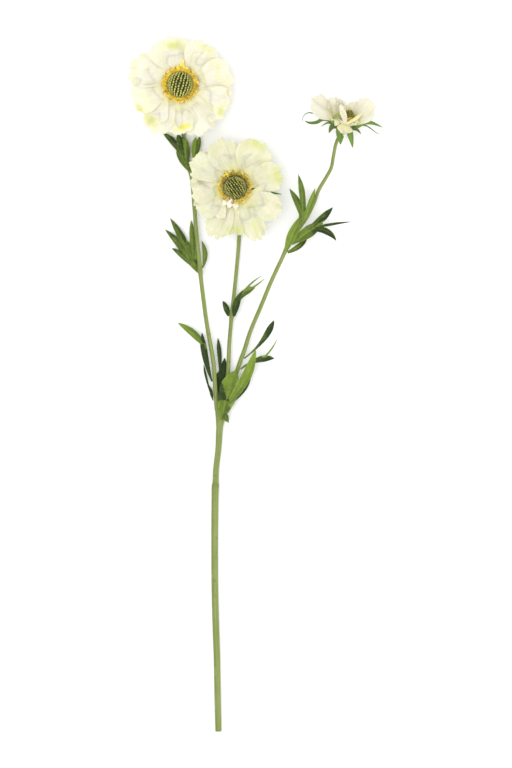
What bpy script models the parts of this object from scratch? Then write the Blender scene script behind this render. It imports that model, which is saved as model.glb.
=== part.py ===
"""A cut scabiosa stem with three cream blooms, lying on a table.

Lengths in this file are millimetres and angles are degrees; add_solid() turns them into metres.
The frame: +Y runs up the stem towards the blooms, +Z points up from the table, and the origin is
on the flat underside of the main stem just below its fork. The table is the plane z = 0.
"""

import math

import bmesh
import bpy
from mathutils import Matrix, Vector
from mathutils.geometry import delaunay_2d_cdt

MM = 0.001

# Driving dimensions.
STEM_CUT_Y = -262.2
FORK_Y = 15.6
STEM_SIDES = 10
STALK_SIDES = 8
CONTACT_GAP = 0.3
LEAF_THICKNESS = 0.75
PETAL_THICKNESS = 0.8
BRACT_THICKNESS = 0.8
BLADE_TIP = 0.6
JOINT_SWELL = 0.45
NECK_DEPTH = 9.0
HUB_LOW, HUB_HIGH = -1.2, 1.4

# Colours as (red, green, blue), linear.
STEM_GREEN = (0.36, 0.42, 0.17)
LEAF_GREEN = (0.13, 0.22, 0.05)
PETAL_CREAM = (0.92, 0.90, 0.72)
FLORET_YELLOW = (0.86, 0.60, 0.10)
BUD_GREEN = (0.22, 0.27, 0.08)

# The main stem's middle line with its radius: x, y, radius.
MAIN_STEM = [
    (-0.9, STEM_CUT_Y, 2.8),
    (-1.6, -234.0, 2.85),
    (-2.2, -199.0, 2.95),
    (-3.4, -164.5, 3.0),
    (-4.1, -130.0, 3.0),
    (-4.2, -95.0, 3.05),
    (-3.9, -60.5, 3.15),
    (-3.6, -49.5, 3.3),
    (-3.4, -46.5, 2.8),
    (-2.9, -34.5, 2.7),
    (-1.0, -17.5, 2.75),
    (0.0, 0.0, 3.0),
    (0.8, 8.0, 3.2),
    (1.8, FORK_Y, 3.4),
]
# How much wider than high the stem grows towards its fork.
FORK_SPREAD = {0.0: 1.0, 8.0: 1.3, FORK_Y: 1.75}

# Flower stalks. The route runs from the fork to under the bloom: x, y, z. The joints are the
# heights up the stem, in y, where leaves grow and the stalk swells.
STALKS = {
    "left": {
        "radii": (1.95, 1.6),
        "joints": (137.0, 226.0),
        "route": [
            (-2.3, FORK_Y + CONTACT_GAP, 3.2),
            (-3.2, 28.5, 4.0),
            (-4.2, 43.5, 5.5),
            (-5.3, 58.0, 7.0),
            (-8.8, 78.0, 8.6),
            (-11.4, 93.5, 9.2),
            (-13.9, 112.5, 9.6),
            (-16.3, 132.5, 9.6),
            (-18.0, 151.5, 9.0),
            (-19.7, 167.0, 8.0),
            (-21.7, 190.5, 5.6),
            (-23.8, 214.5, 3.2),
            (-27.0, 229.0, 2.1),
            (-29.6, 243.0, 1.7),
            (-31.6, 260.0, 1.7),
            (-33.4, 275.0, 3.4),
        ],
    },
    "middle": {
        "radii": (1.8, 1.6),
        "joints": (98.0,),
        "route": [
            (1.8, FORK_Y + CONTACT_GAP, 3.2),
            (4.8, 31.0, 4.2),
            (7.4, 50.0, 5.4),
            (8.5, 73.5, 6.4),
            (10.1, 92.5, 6.6),
            (11.7, 108.5, 6.4),
            (13.6, 125.5, 5.8),
            (15.6, 147.0, 3.6),
            (16.9, 164.5, 2.0),
            (17.2, 180.0, 1.7),
            (16.2, 192.0, 4.2),
        ],
    },
    "right": {
        "radii": (1.95, 1.45),
        "joints": (157.0,),
        "route": [
            (5.9, FORK_Y + CONTACT_GAP, 3.2),
            (10.0, 31.5, 4.4),
            (16.3, 53.0, 6.2),
            (21.6, 68.0, 7.6),
            (27.1, 85.0, 9.2),
            (35.6, 105.0, 11.2),
            (44.3, 126.0, 13.2),
            (53.6, 146.0, 14.8),
            (59.3, 158.0, 15.6),
            (67.3, 170.5, 16.2),
            (75.3, 182.0, 16.8),
            (81.7, 195.0, 17.4),
            (85.6, 205.5, 17.8),
            (91.1, 215.0, 18.0),
            (96.3, 224.5, 18.0),
            (98.2, 234.0, 17.6),
            (100.2, 244.5, 16.8),
        ],
    },
}

# Leaf blades. Each leaf grows from a stalk at a height y, on the side given as an angle round the
# stalk, with 0 to the right, 90 on top and 180 to the left. Its lobes run from a start to a tip in
# x, y, z; a start of None is the place where the leaf grows. Then come width, sideways bow, belly
# (where the lobe is widest), stalk (its width at the start), both as shares, and upward arch.
LEAVES = {
    "leaf_neck_left": (("left", 222.5, 100), [
        (None, (-35.4, 246.0, 7.6), 8.6, -1.0, 0.62, 0.18, 1.0),
        ((-31.5, 233.0, 6.8), (-35.8, 254.6, 4.6), 7.4, -1.0, 0.45, 0.60, 0.6),
        ((-34.0, 239.0, 7.0), (-49.6, 256.4, 2.6), 5.6, 1.4, 0.45, 0.55, 0.8),
        ((-29.0, 229.0, 5.8), (-27.4, 250.0, 9.0), 6.2, 0.4, 0.45, 0.50, 0.6),
    ]),
    "leaf_neck_right": (("left", 224.0, 55), [
        (None, (-20.6, 252.0, 8.4), 6.0, 0.8, 0.72, 0.25, 0.6),
        ((-23.4, 229.0, 4.9), (-17.0, 253.6, 5.0), 4.2, 1.0, 0.66, 0.40, 0.6),
    ]),
    "leaf_left_upper": (("left", 135.0, 235), [
        (None, (-27.6, 162.0, 3.4), 11.0, -1.2, 0.62, 0.14, 0.2),
        ((-26.0, 151.0, 4.4), (-42.8, 182.2, 2.2), 6.4, 0.8, 0.42, 0.50, 1.2),
        ((-26.5, 146.5, 4.4), (-47.4, 172.4, 1.2), 6.2, 1.6, 0.42, 0.50, 1.2),
        ((-25.5, 142.5, 4.4), (-41.6, 156.2, 1.0), 5.0, 1.2, 0.42, 0.50, 0.6),
        ((-22.9, 147.0, 4.6), (-24.6, 180.4, 4.4), 5.4, 0.6, 0.55, 0.60, 0.6),
    ]),
    "leaf_left_upper_small": (("left", 138.5, 320), [
        (None, (-15.6, 162.6, 5.4), 4.4, 2.6, 0.50, 0.25, 0.6),
    ]),
    "leaf_middle_small": (("middle", 97.0, 200), [
        (None, (2.7, 110.6, 3.2), 5.0, 0.6, 0.45, 0.35, 0.6),
    ]),
    "leaf_middle_curled": (("middle", 97.0, 40), [
        (None, (20.2, 119.4, 11.0), 6.2, -1.6, 0.40, 0.30, 1.6),
        ((17.4, 111.6, 10.4), (30.8, 121.6, 8.4), 5.6, -2.0, 0.62, 0.45, 1.0),
        ((20.0, 117.0, 10.8), (37.4, 132.2, 13.0), 1.5, -1.4, 0.40, 0.80, 0.6),
        ((22.5, 118.6, 10.4), (40.0, 130.2, 9.6), 1.5, 0.8, 0.40, 0.80, 0.4),
    ]),
    "leaf_left_lower": (("left", 41.0, 155), [
        (None, (-15.0, 82.4, 8.4), 4.8, -1.0, 0.70, 0.22, 0.8),
        ((-12.0, 70.4, 7.2), (-36.6, 91.6, 2.4), 7.0, 2.0, 0.48, 0.30, 1.0),
    ]),
    "leaf_left_lower_thin": (("left", 24.5, 180), [
        (None, (-13.2, 54.4, 5.6), 2.7, -0.8, 0.74, 0.50, 0.6),
        ((-6.2, 26.5, 3.4), (-9.2, 37.6, 3.0), 2.8, 0.4, 0.40, 0.60, 0.3),
    ]),
    "leaf_fork_back": (None, [
        ((1.6, 20.5, 1.0), (1.6, 49.0, 1.2), 7.6, -0.4, 0.70, 0.30, 0.0),
        ((0.6, 42.0, 1.2), (-1.4, 78.6, 3.4), 3.8, 0.6, 0.70, 0.55, 0.4),
        ((1.8, 41.0, 1.2), (6.0, 59.6, 0.9), 4.4, 0.4, 0.50, 0.60, 0.2),
    ]),
    "leaf_fork_front": (None, [
        ((1.8, 7.6, 7.3), (14.6, 50.8, 12.6), 17.4, -1.0, 0.60, 0.16, 2.2),
        ((9.0, 23.0, 9.6), (31.4, 68.6, 17.2), 8.6, 3.0, 0.52, 0.45, 1.6),
        ((6.0, 25.0, 9.4), (-0.6, 31.8, 8.4), 4.6, 0.6, 0.40, 0.70, 0.3),
        ((4.6, 13.0, 7.9), (8.0, 5.0, 6.0), 4.8, 0.4, 0.35, 0.60, 0.3),
    ]),
    "leaf_fork_side": (("right", 22.5, 0), [
        (None, (27.4, 44.2, 3.2), 4.2, 1.0, 0.60, 0.40, 0.8),
    ]),
    "leaf_fork_right_low": (("right", 52.0, 20), [
        (None, (47.6, 60.6, 10.0), 5.6, -3.2, 0.72, 0.30, 1.6),
        ((38.4, 61.4, 10.6), (50.4, 78.6, 15.0), 1.5, 1.2, 0.40, 0.80, 0.6),
    ]),
    "leaf_fork_right_high": (("right", 61.5, 25), [
        (None, (47.2, 93.6, 15.4), 5.4, 3.0, 0.78, 0.25, 1.0),
    ]),
    "leaf_right_upper": (("right", 153.5, 80), [
        (None, (74.6, 186.0, 22.0), 8.6, -1.6, 0.45, 0.30, 1.2),
        ((71.5, 177.0, 21.4), (67.9, 219.0, 27.0), 5.2, 2.0, 0.62, 0.80, 1.2),
        ((71.5, 183.0, 21.8), (60.3, 206.8, 20.8), 5.8, 1.2, 0.45, 0.70, 1.4),
        ((72.6, 179.0, 21.2), (82.5, 207.0, 25.4), 5.0, 0.6, 0.50, 0.60, 1.0),
        ((69.6, 175.0, 21.0), (68.8, 187.0, 18.8), 2.4, 0.4, 0.40, 0.70, 0.3),
    ]),
    "leaf_right_outer": (("right", 160.0, 32), [
        (None, (89.5, 177.2, 20.8), 10.4, -1.0, 0.55, 0.10, 1.8),
        ((78.5, 172.8, 20.8), (97.9, 190.6, 24.6), 6.2, 0.6, 0.50, 0.55, 1.0),
        ((82.0, 173.2, 20.2), (114.6, 178.2, 22.6), 2.4, -0.6, 0.35, 0.80, 0.8),
        ((80.0, 171.4, 20.0), (101.1, 162.0, 8.4), 5.4, -3.8, 0.50, 0.60, 3.0),
    ]),
    "leaf_right_low": (("right", 153.0, -30), [
        (None, (76.5, 165.8, 10.4), 4.6, 1.8, 0.50, 0.45, 0.6),
    ]),
}

# Blooms. The collar is the floret ring's outer radius and rim height. A petal is: direction round
# the axis, reach from the axis, width, lift, curl, roll; tapers gives the petals, by direction,
# that narrow towards their tips. A bract is: direction, reach, width, lift, droop. A blade is a
# longer bract along a route: width, belly (where it is widest, as a share), points in x, y, z.
BLOOMS = {
    "left": {
        "centre": (-33.2, 294.3, 22.5),
        "axis": (-0.03, 0.05, 1.0),
        "disc": 11.2,
        "dome": 9.0,
        "bud_rows": 3,
        "collar": (16.4, 6.2),
        "outer": [
            (14, 45.0, 33, 8, 1.5, 6),
            (50, 43.4, 33, 5, 2.0, 6),
            (103, 43.0, 35, 6, 1.5, 6),
            (152, 46.4, 31, 4, 2.5, 6),
            (184, 45.2, 34, 6, 0.5, 6),
            (224, 46.6, 36, 3, 2.5, 6),
            (262, 46.4, 33, 5, 2.0, 6),
            (294, 45.8, 32, 4, 3.0, 6),
            (332, 46.4, 32, 6, 1.5, 6),
        ],
        "inner": [
            (28, 34.0, 27, 15, 2.5, 7),
            (78, 32.0, 27, 14, 2.5, 7),
            (126, 33.0, 28, 15, 2.0, 7),
            (196, 32.0, 32, 14, 2.5, 7),
            (250, 32.0, 28, 14, 2.5, 7),
            (312, 34.0, 31, 15, 3.0, 7),
        ],
        "tapers": {},
        "blades": [],
        "bracts": [
            (8, 30, 4.4, -4, 1.5), (52, 33, 4.4, -8, 1.5), (98, 30, 4.4, -4, 1.5),
            (140, 32, 4.4, -8, 1.5), (188, 30, 4.4, -5, 1.5), (232, 31, 4.4, -9, 1.5),
            (278, 28, 4.4, -6, 1.5), (322, 32, 4.4, -8, 1.5),
        ],
    },
    "middle": {
        "centre": (14.5, 207.5, 25.0),
        "axis": (0.05, 0.07, 1.0),
        "disc": 10.4,
        "dome": 9.0,
        "bud_rows": 3,
        "collar": (15.4, 6.2),
        "outer": [
            (20, 42.4, 24, 12, -1.0, 6),
            (64, 44.6, 34, 8, 1.0, 6),
            (110, 43.4, 34, 9, 1.0, 6),
            (152, 42.6, 31, 8, 1.0, 6),
            (184, 42.6, 28, 9, 1.5, 6),
            (210, 43.0, 20, 5, 2.0, 6),
            (254, 46.8, 32, 2, 3.0, 6),
            (299, 50.2, 25, -1, 2.0, 6),
            (335, 45.2, 26, 6, 1.5, 6),
        ],
        "inner": [
            (36, 32.0, 27, 18, 2.0, 7),
            (86, 33.0, 27, 18, 2.0, 7),
            (140, 31.0, 30, 17, 2.5, 7),
            (198, 31.0, 29, 17, 2.5, 7),
            (258, 33.0, 31, 12, 3.0, 7),
            (326, 32.0, 30, 14, 2.5, 7),
        ],
        "tapers": {},
        "blades": [],
        "bracts": [
            (-2, 38, 4.0, 3, 1.0), (40, 32, 4.4, -6, 1.5), (86, 30, 4.4, -8, 1.5),
            (130, 32, 4.4, -4, 1.5), (180, 30, 4.4, -6, 1.5), (226, 33, 4.4, -10, 1.5),
            (272, 28, 4.4, -12, 1.5), (314, 38, 4.4, -6, 1.5),
        ],
    },
    "right": {
        "centre": (108.0, 264.8, 19.3),
        "axis": (0.34, 0.88, 0.34),
        "disc": 5.4,
        "dome": 8.2,
        "bud_rows": 2,
        "collar": (6.9, 7.0),
        "outer": [
            (176, 35.4, 28, 15, -1.0, -24),
            (146, 25.6, 17, 46, -1.0, -20),
            (120, 22.5, 12, 52, -1.0, 0),
            (48, 26.0, 19, 58, -1.0, 18),
            (8, 33.6, 27, 62, -2.0, 27),
            (322, 15.5, 11, 40, 0.0, 10),
            (284, 19.5, 17, -40, 1.5, 0),
            (222, 16.0, 11, 8, 1.0, -10),
        ],
        "inner": [
            (160, 18.0, 13, 46, -1.0, -10),
            (84, 17.0, 13, 56, -1.0, 0),
            (22, 18.0, 13, 56, -1.0, 10),
        ],
        "tapers": {284: 0.7},
        "bracts": [(62, 19.6, 4.4, -28, 0.5), (118, 19.6, 4.4, -40, 0.5)],
        "blades": [
            (1.3, 0.30, [(105.0, 262.0, 18.8), (100.9, 263.4, 18.5), (93.1, 267.0, 18.3),
                         (86.2, 269.5, 18.3), (78.4, 272.3, 17.8), (73.7, 270.7, 17.1),
                         (71.5, 266.3, 16.3), (71.1, 258.1, 14.8)]),
            (3.0, 0.60, [(105.0, 262.0, 19.8), (99.5, 262.8, 19.8), (94.5, 265.6, 19.9),
                         (89.0, 266.5, 19.7), (83.6, 263.9, 19.0), (77.6, 263.7, 17.7),
                         (73.2, 265.6, 16.9)]),
            (1.6, 0.50, [(105.0, 261.6, 19.3), (98.5, 262.6, 19.5), (93.0, 263.4, 19.3),
                         (87.5, 260.2, 17.8)]),
            (5.6, 0.40, [(105.0, 261.6, 20.8), (101.0, 261.4, 20.8), (97.0, 260.1, 20.3),
                         (94.4, 254.7, 18.3)]),
            (8.0, 0.35, [(106.0, 261.6, 22.5), (104.5, 257.6, 23.9), (104.1, 251.6, 23.7),
                         (104.4, 244.7, 22.7)]),
            (5.6, 0.45, [(108.3, 260.7, 21.8), (111.3, 257.1, 22.8), (113.2, 251.1, 22.7),
                         (115.0, 241.6, 21.3)]),
            (2.8, 0.45, [(109.0, 260.8, 20.0), (114.5, 258.6, 20.0), (118.5, 257.7, 19.6),
                         (122.2, 253.8, 18.7)]),
            (4.6, 0.55, [(109.5, 260.4, 19.2), (113.6, 258.8, 18.8), (116.8, 259.6, 18.8),
                         (120.4, 261.9, 19.0), (125.0, 263.9, 19.4), (132.0, 263.2, 19.4),
                         (141.3, 259.4, 18.9)]),
            (1.2, 0.30, [(109.0, 261.0, 19.2), (114.0, 259.6, 19.0), (120.0, 261.0, 18.8),
                         (126.0, 261.2, 18.3), (131.5, 258.0, 17.5), (136.5, 254.4, 16.5),
                         (141.0, 254.0, 15.7)]),
        ],
    },
}


def smooth_route(points, steps):
    """Points on a Catmull-Rom curve through the given points, with that many steps in each span."""
    ends = [2 * points[0] - points[1], *points, 2 * points[-1] - points[-2]]
    made = []
    for i in range(1, len(ends) - 2):
        a, b, c, d = ends[i - 1:i + 3]
        for k in range(steps):
            t = k / steps
            made.append(0.5 * (2 * b + (c - a) * t + (2 * a - 5 * b + 4 * c - d) * t ** 2
                               + (3 * b - a - 3 * c + d) * t ** 3))
    made.append(points[-1].copy())
    return made


def make_material(name, colour, roughness):
    material = bpy.data.materials.new(name)
    material.use_nodes = True
    shader = material.node_tree.nodes["Principled BSDF"]
    shader.inputs["Base Color"].default_value = (*colour, 1.0)
    shader.inputs["Roughness"].default_value = roughness
    shader.inputs["Metallic"].default_value = 0.0
    return material


def add_solid(name, bm, colour, roughness, sharp_angle=40.0):
    """Turns a bmesh in millimetres into an object in metres with its own material."""
    bmesh.ops.triangulate(bm, faces=bm.faces[:])
    bmesh.ops.recalc_face_normals(bm, faces=bm.faces[:])
    bmesh.ops.scale(bm, vec=(MM, MM, MM), verts=bm.verts[:])
    mesh = bpy.data.meshes.new(name)
    bm.to_mesh(mesh)
    bm.free()
    mesh.shade_smooth()
    mesh.set_sharp_from_angle(angle=math.radians(sharp_angle))
    mesh.materials.append(make_material(name, colour, roughness))
    solid = bpy.data.objects.new(name, mesh)
    bpy.context.scene.collection.objects.link(solid)
    return solid


def sweep(rings):
    """A closed bmesh skinned over rings of equal size, with flat ends."""
    bm = bmesh.new()
    loops = [[bm.verts.new(p) for p in ring] for ring in rings]
    sides = len(rings[0])
    for low, high in zip(loops, loops[1:]):
        for i in range(sides):
            j = (i + 1) % sides
            bm.faces.new((low[i], low[j], high[j], high[i]))
    bm.faces.new(loops[0][::-1])
    bm.faces.new(loops[-1])
    return bm


def thicken(points, faces, thickness):
    """A closed bmesh: a sheet of faces given a thickness along Z, alike above and below."""
    bm = bmesh.new()
    half = Vector((0, 0, thickness / 2))
    verts = [bm.verts.new(p - half) for p in points]
    for face in faces:
        bm.faces.new([verts[i] for i in face])
    bmesh.ops.triangulate(bm, faces=bm.faces[:])
    grown = bmesh.ops.extrude_face_region(bm, geom=bm.faces[:], use_keep_orig=True)
    moved = [g for g in grown["geom"] if isinstance(g, bmesh.types.BMVert)]
    bmesh.ops.translate(bm, vec=2 * half, verts=moved)
    bmesh.ops.recalc_face_normals(bm, faces=bm.faces[:])
    return bm


def keep_outer_shell(mesh):
    """Fills the hollows that the petals seal between them: only the largest shell stays."""
    bm = bmesh.new()
    bm.from_mesh(mesh)
    unseen = set(bm.faces)
    shells = []
    while unseen:
        reached = [unseen.pop()]
        shell = []
        while reached:
            face = reached.pop()
            shell.append(face)
            for near in {f for e in face.edges for f in e.link_faces} & unseen:
                unseen.discard(near)
                reached.append(near)
        shells.append(shell)
    shells.sort(key=lambda shell: sum(face.calc_area() for face in shell))
    inside = [face for shell in shells[:-1] for face in shell]
    bmesh.ops.delete(bm, geom=inside, context="FACES")
    bm.to_mesh(mesh)
    bm.free()


def join_as_one(name, shapes, colour, roughness):
    """One body from overlapping shapes, by a Boolean union of the first with all the others."""
    base = add_solid(name, shapes[0], colour, roughness)
    others = bpy.data.collections.new(name + "_pieces")
    for i, shape in enumerate(shapes[1:]):
        piece = add_solid(f"{name}_piece_{i}", shape, colour, roughness)
        bpy.context.scene.collection.objects.unlink(piece)
        others.objects.link(piece)
    bpy.context.scene.collection.children.link(others)
    union = base.modifiers.new("join", "BOOLEAN")
    union.operation = "UNION"
    union.operand_type = "COLLECTION"
    union.collection = others
    union.solver = "MANIFOLD"
    graph = bpy.context.evaluated_depsgraph_get()
    joined = bpy.data.meshes.new_from_object(base.evaluated_get(graph))
    base.modifiers.clear()
    base.data = joined
    for piece in list(others.objects):
        bpy.data.objects.remove(piece)
    bpy.data.collections.remove(others)
    keep_outer_shell(joined)


def main_stem():
    """The cut stem: every ring has a flat side down on the table, and the ends face along Y."""
    apothem = math.cos(math.pi / STEM_SIDES)
    middles = [Vector((x, y, 0.0)) for x, y, _ in MAIN_STEM]
    rings = []
    for i, (x, y, radius) in enumerate(MAIN_STEM):
        along = Vector((0, 1, 0))
        if 0 < i < len(MAIN_STEM) - 1:
            along = (middles[i + 1] - middles[i - 1]).normalized()
        side = along.cross(Vector((0, 0, 1)))
        centre = Vector((x, y, radius * apothem))
        ring = []
        for k in range(STEM_SIDES):
            turn = 2 * math.pi * (k + 0.5) / STEM_SIDES - math.pi / 2
            out = side * (radius * FORK_SPREAD.get(y, 1.0) * math.cos(turn))
            ring.append(centre + out + Vector((0, 0, radius * math.sin(turn))))
        rings.append(ring)
    add_solid("main_stem", sweep(rings), STEM_GREEN, 0.55)


def stalk_line(side):
    """The stalk's middle line, from the fork to the neck of its bloom."""
    bloom = BLOOMS[side]
    axis = Vector(bloom["axis"]).normalized()
    top = Vector(bloom["centre"]) - axis * (NECK_DEPTH + CONTACT_GAP)
    points = [Vector(p) for p in STALKS[side]["route"]] + [top - axis * 4.0, top]
    return smooth_route(points, 2)


def stalk_radius(side, y, share):
    """The stalk's radius at a share of its length, with a swelling at each joint."""
    thick, thin = STALKS[side]["radii"]
    swell = sum(math.exp(-((y - joint) / 4.0) ** 2) for joint in STALKS[side]["joints"])
    return thick + (thin - thick) * share + JOINT_SWELL * swell


def stalk(side):
    line = stalk_line(side)
    up = Vector((0, 0, 1))
    rings = []
    for i, point in enumerate(line):
        if i == 0:
            along = Vector((0, 1, 0))
        elif i == len(line) - 1:
            along = Vector(BLOOMS[side]["axis"]).normalized()
        else:
            along = (line[i + 1] - line[i - 1]).normalized()
        up = (up - along * up.dot(along)).normalized()
        across = along.cross(up)
        radius = stalk_radius(side, point.y, i / (len(line) - 1))
        ring = []
        for k in range(STALK_SIDES):
            turn = 2 * math.pi * (k + 0.5) / STALK_SIDES - math.pi / 2
            ring.append(point + across * (radius * math.cos(turn)) + up * (radius * math.sin(turn)))
        rings.append(ring)
    add_solid(f"stalk_{side}", sweep(rings), STEM_GREEN, 0.55)


def growing_point(side, y, turn):
    """The place on a stalk's skin, at a height y and an angle round it, where a leaf begins."""
    line = stalk_line(side)
    i = next(i for i, point in enumerate(line) if point.y > y)
    low, high = line[i - 1], line[i]
    point = low.lerp(high, (y - low.y) / (high.y - low.y))
    along = (high - low).normalized()
    across = along.cross(Vector((0, 0, 1))).normalized()
    out = across * math.cos(math.radians(turn)) + across.cross(along) * math.sin(math.radians(turn))
    radius = stalk_radius(side, y, i / (len(line) - 1))
    return point + out * (radius + CONTACT_GAP + LEAF_THICKNESS / 2)


def lobe_rib(lobe, steps):
    """The lobe's middle line as (point, share along it), bowed sideways and arched upwards."""
    start, tip, _, bow, _, _, arch = lobe
    start, tip = Vector(start), Vector(tip)
    run = Vector((tip.x - start.x, tip.y - start.y, 0.0)).normalized()
    across = Vector((run.y, -run.x, 0.0))
    line = []
    for i in range(steps + 1):
        s = i / steps
        hump = 4 * s * (1 - s)
        line.append((start.lerp(tip, s) + across * (bow * hump) + Vector((0, 0, arch * hump)), s))
    return line


def lobe_half_width(lobe, s):
    _, _, width, _, belly, stalk_share, _ = lobe
    if s < belly:
        swell = math.sin(0.5 * math.pi * s / belly)
        return 0.5 * width * (stalk_share + (1 - stalk_share) * swell)
    return 0.5 * width * math.cos(0.5 * math.pi * (s - belly) / (1 - belly)) ** 0.85


def blade_height(x, y, ribs):
    """Height of the blade at a spot in plan: the near ribs' heights, blended, less the keel."""
    total, weighted, nearest = 0.0, 0.0, 1e9
    for line in ribs:
        distance, height = min(((p.x - x) ** 2 + (p.y - y) ** 2, p.z) for p in line)
        weight = 1.0 / (distance + 0.6) ** 2
        total += weight
        weighted += weight * height
        nearest = min(nearest, distance)
    return weighted / total - 0.045 * min(nearest, 16.0)


def leaf(name, growth, lobes, steps=4):
    """A lobed blade in one piece: the lobes' outlines are merged in plan, then given height."""
    if growth:
        lobes = [(growing_point(*growth), *lobes[0][1:])] + lobes[1:]
    plan, edges, outlines = [], [], []
    for lobe in lobes:
        line = lobe_rib(lobe, steps)
        left, right = [], []
        for i, (point, s) in enumerate(line[:-1]):
            run = line[i + 1][0] - point
            across = Vector((run.y, -run.x)).normalized() * lobe_half_width(lobe, s)
            left.append(Vector((point.x, point.y)) - across)
            right.append(Vector((point.x, point.y)) + across)
        tip = Vector((line[-1][0].x, line[-1][0].y))
        outline = right + [tip] + left[::-1]
        first = len(plan)
        plan += outline
        outlines.append(list(range(first, first + len(outline))))
        first = len(plan)
        plan += [Vector((p.x, p.y)) for p, _ in line[1:-1]]
        edges += [(k, k + 1) for k in range(first, len(plan) - 1)]
    points, _, faces, *_ = delaunay_2d_cdt(plan, edges, outlines, 1, 0.02)
    ribs = [[p for p, _ in lobe_rib(lobe, 24)] for lobe in lobes]
    lifted = [Vector((p.x, p.y, blade_height(p.x, p.y, ribs))) for p in points]
    add_solid(name, thicken(lifted, faces, LEAF_THICKNESS), LEAF_GREEN, 0.6)


def bloom_frame(bloom):
    """The matrix from the bloom's own space, +Z out of its face and +X to the right, to the table."""
    axis = Vector(bloom["axis"]).normalized()
    right = (Vector((1, 0, 0)) - axis * axis.x).normalized()
    up = axis.cross(right)
    frame = Matrix((right, up, axis)).transposed().to_4x4()
    frame.translation = Vector(bloom["centre"])
    return frame


def blade_frame(direction, lift, roll, root, level):
    """The matrix from a petal's own space, +X along it and +Z off its face, to its bloom's space."""
    turn = Matrix.Rotation(math.radians(direction), 4, "Z")
    tilt = Matrix.Rotation(math.radians(-lift), 4, "Y")
    twist = Matrix.Rotation(math.radians(roll), 4, "X")
    return turn @ Matrix.Translation((root, 0, level)) @ tilt @ twist


def petal(frame, length, width, curl, phase, cells, ruffle, taper=0.0):
    """A fan-shaped petal with a waved rim: a bent sheet thickened off its face."""
    along, across = cells
    points, faces = [], []
    for i in range(along + 1):
        s = i / along
        spread = 0.22 + 0.78 * math.sin(0.5 * math.pi * min(1.0, s / 0.78))
        spread *= 1 - taper * s ** 2
        for j in range(across + 1):
            v = 2 * j / across - 1
            x = length * s * (1 - 0.24 * s * abs(v) ** 2.4)
            y = 0.5 * width * v * spread
            wave = math.sin(2.1 * math.pi * v + phase) + 0.5 * math.sin(4.1 * v - 2 * phase)
            points.append(Vector((x, y, s ** 2 * (ruffle * wave - curl))))
    for i in range(along):
        for j in range(across):
            a = i * (across + 1) + j
            faces.append((a, a + across + 1, a + across + 2, a + 1))
    bm = thicken(points, faces, PETAL_THICKNESS)
    bmesh.ops.transform(bm, matrix=frame, verts=bm.verts[:])
    return bm


def bract(frame, length, width, droop):
    """A narrow pointed blade with a folded middle, thickened off its face."""
    rows = 3
    points, faces = [], []
    for i in range(rows):
        s = i / rows
        half = 0.5 * width * min(0.7 + s, math.cos(0.5 * math.pi * max(0.0, (s - 0.35) / 0.65)))
        z = -droop * s ** 2
        points += [Vector((length * s, -half, z)), Vector((length * s, 0, z + 0.1 * width)),
                   Vector((length * s, half, z))]
    points.append(Vector((length, 0, -droop)))
    for i in range(rows - 1):
        a = 3 * i
        faces += [(a, a + 3, a + 4, a + 1), (a + 1, a + 4, a + 5, a + 2)]
    last = 3 * (rows - 1)
    faces += [(last, last + 3, last + 1), (last + 1, last + 3, last + 2)]
    bm = thicken(points, faces, BRACT_THICKNESS)
    bmesh.ops.transform(bm, matrix=frame, verts=bm.verts[:])
    return bm


def blade(width, belly, route):
    """A long narrow bract along a route: a flat four-sided rod, widest at its belly."""
    line = smooth_route([Vector(p) for p in route], 2)
    last = len(line) - 1
    rings = []
    for i, point in enumerate(line):
        s = i / last
        if s < belly:
            share = 0.5 + 0.5 * math.sin(0.5 * math.pi * s / belly)
        else:
            share = math.cos(0.5 * math.pi * (s - belly) / (1 - belly)) ** 0.8
        along = (line[min(i + 1, last)] - line[max(i - 1, 0)]).normalized()
        across = along.cross(Vector((0, 0, 1))).normalized()
        side = across * max(BLADE_TIP / 2, 0.5 * width * share)
        face = across.cross(along) * (BRACT_THICKNESS / 2)
        rings.append([point + side, point + face, point - side, point - face])
    return sweep(rings)


def turned(profile, sides, frame):
    """A solid turned about the bloom's axis from a profile of (radius, height), low to high."""
    rings = []
    for radius, height in profile:
        rings.append([frame @ Vector((radius * math.cos(2 * math.pi * k / sides),
                                      radius * math.sin(2 * math.pi * k / sides), height))
                      for k in range(sides)])
    return sweep(rings)


def petals_of(name, bloom):
    """The rosette: two whorls of petals grown from one hub."""
    frame = bloom_frame(bloom)
    hub = bloom["disc"] + 2.8
    root = bloom["disc"] + 0.9
    shapes = [turned([(hub, HUB_LOW), (hub, HUB_HIGH)], 14, frame)]
    for i, (direction, reach, width, lift, curl, roll) in enumerate(bloom["outer"]):
        place = frame @ blade_frame(direction, lift, roll, root, -0.3 + 0.4 * (i % 2))
        taper = bloom["tapers"].get(direction, 0.0)
        shapes.append(petal(place, reach - root, width, curl, 1.7 * i, (3, 6), 1.5, taper))
    for i, (direction, reach, width, lift, curl, roll) in enumerate(bloom["inner"]):
        place = frame @ blade_frame(direction, lift, roll, root, 0.75)
        shapes.append(petal(place, reach - root, width, curl, 2.3 * i + 1.0, (3, 4), 1.0))
    join_as_one(name, shapes, PETAL_CREAM, 0.65)


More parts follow.
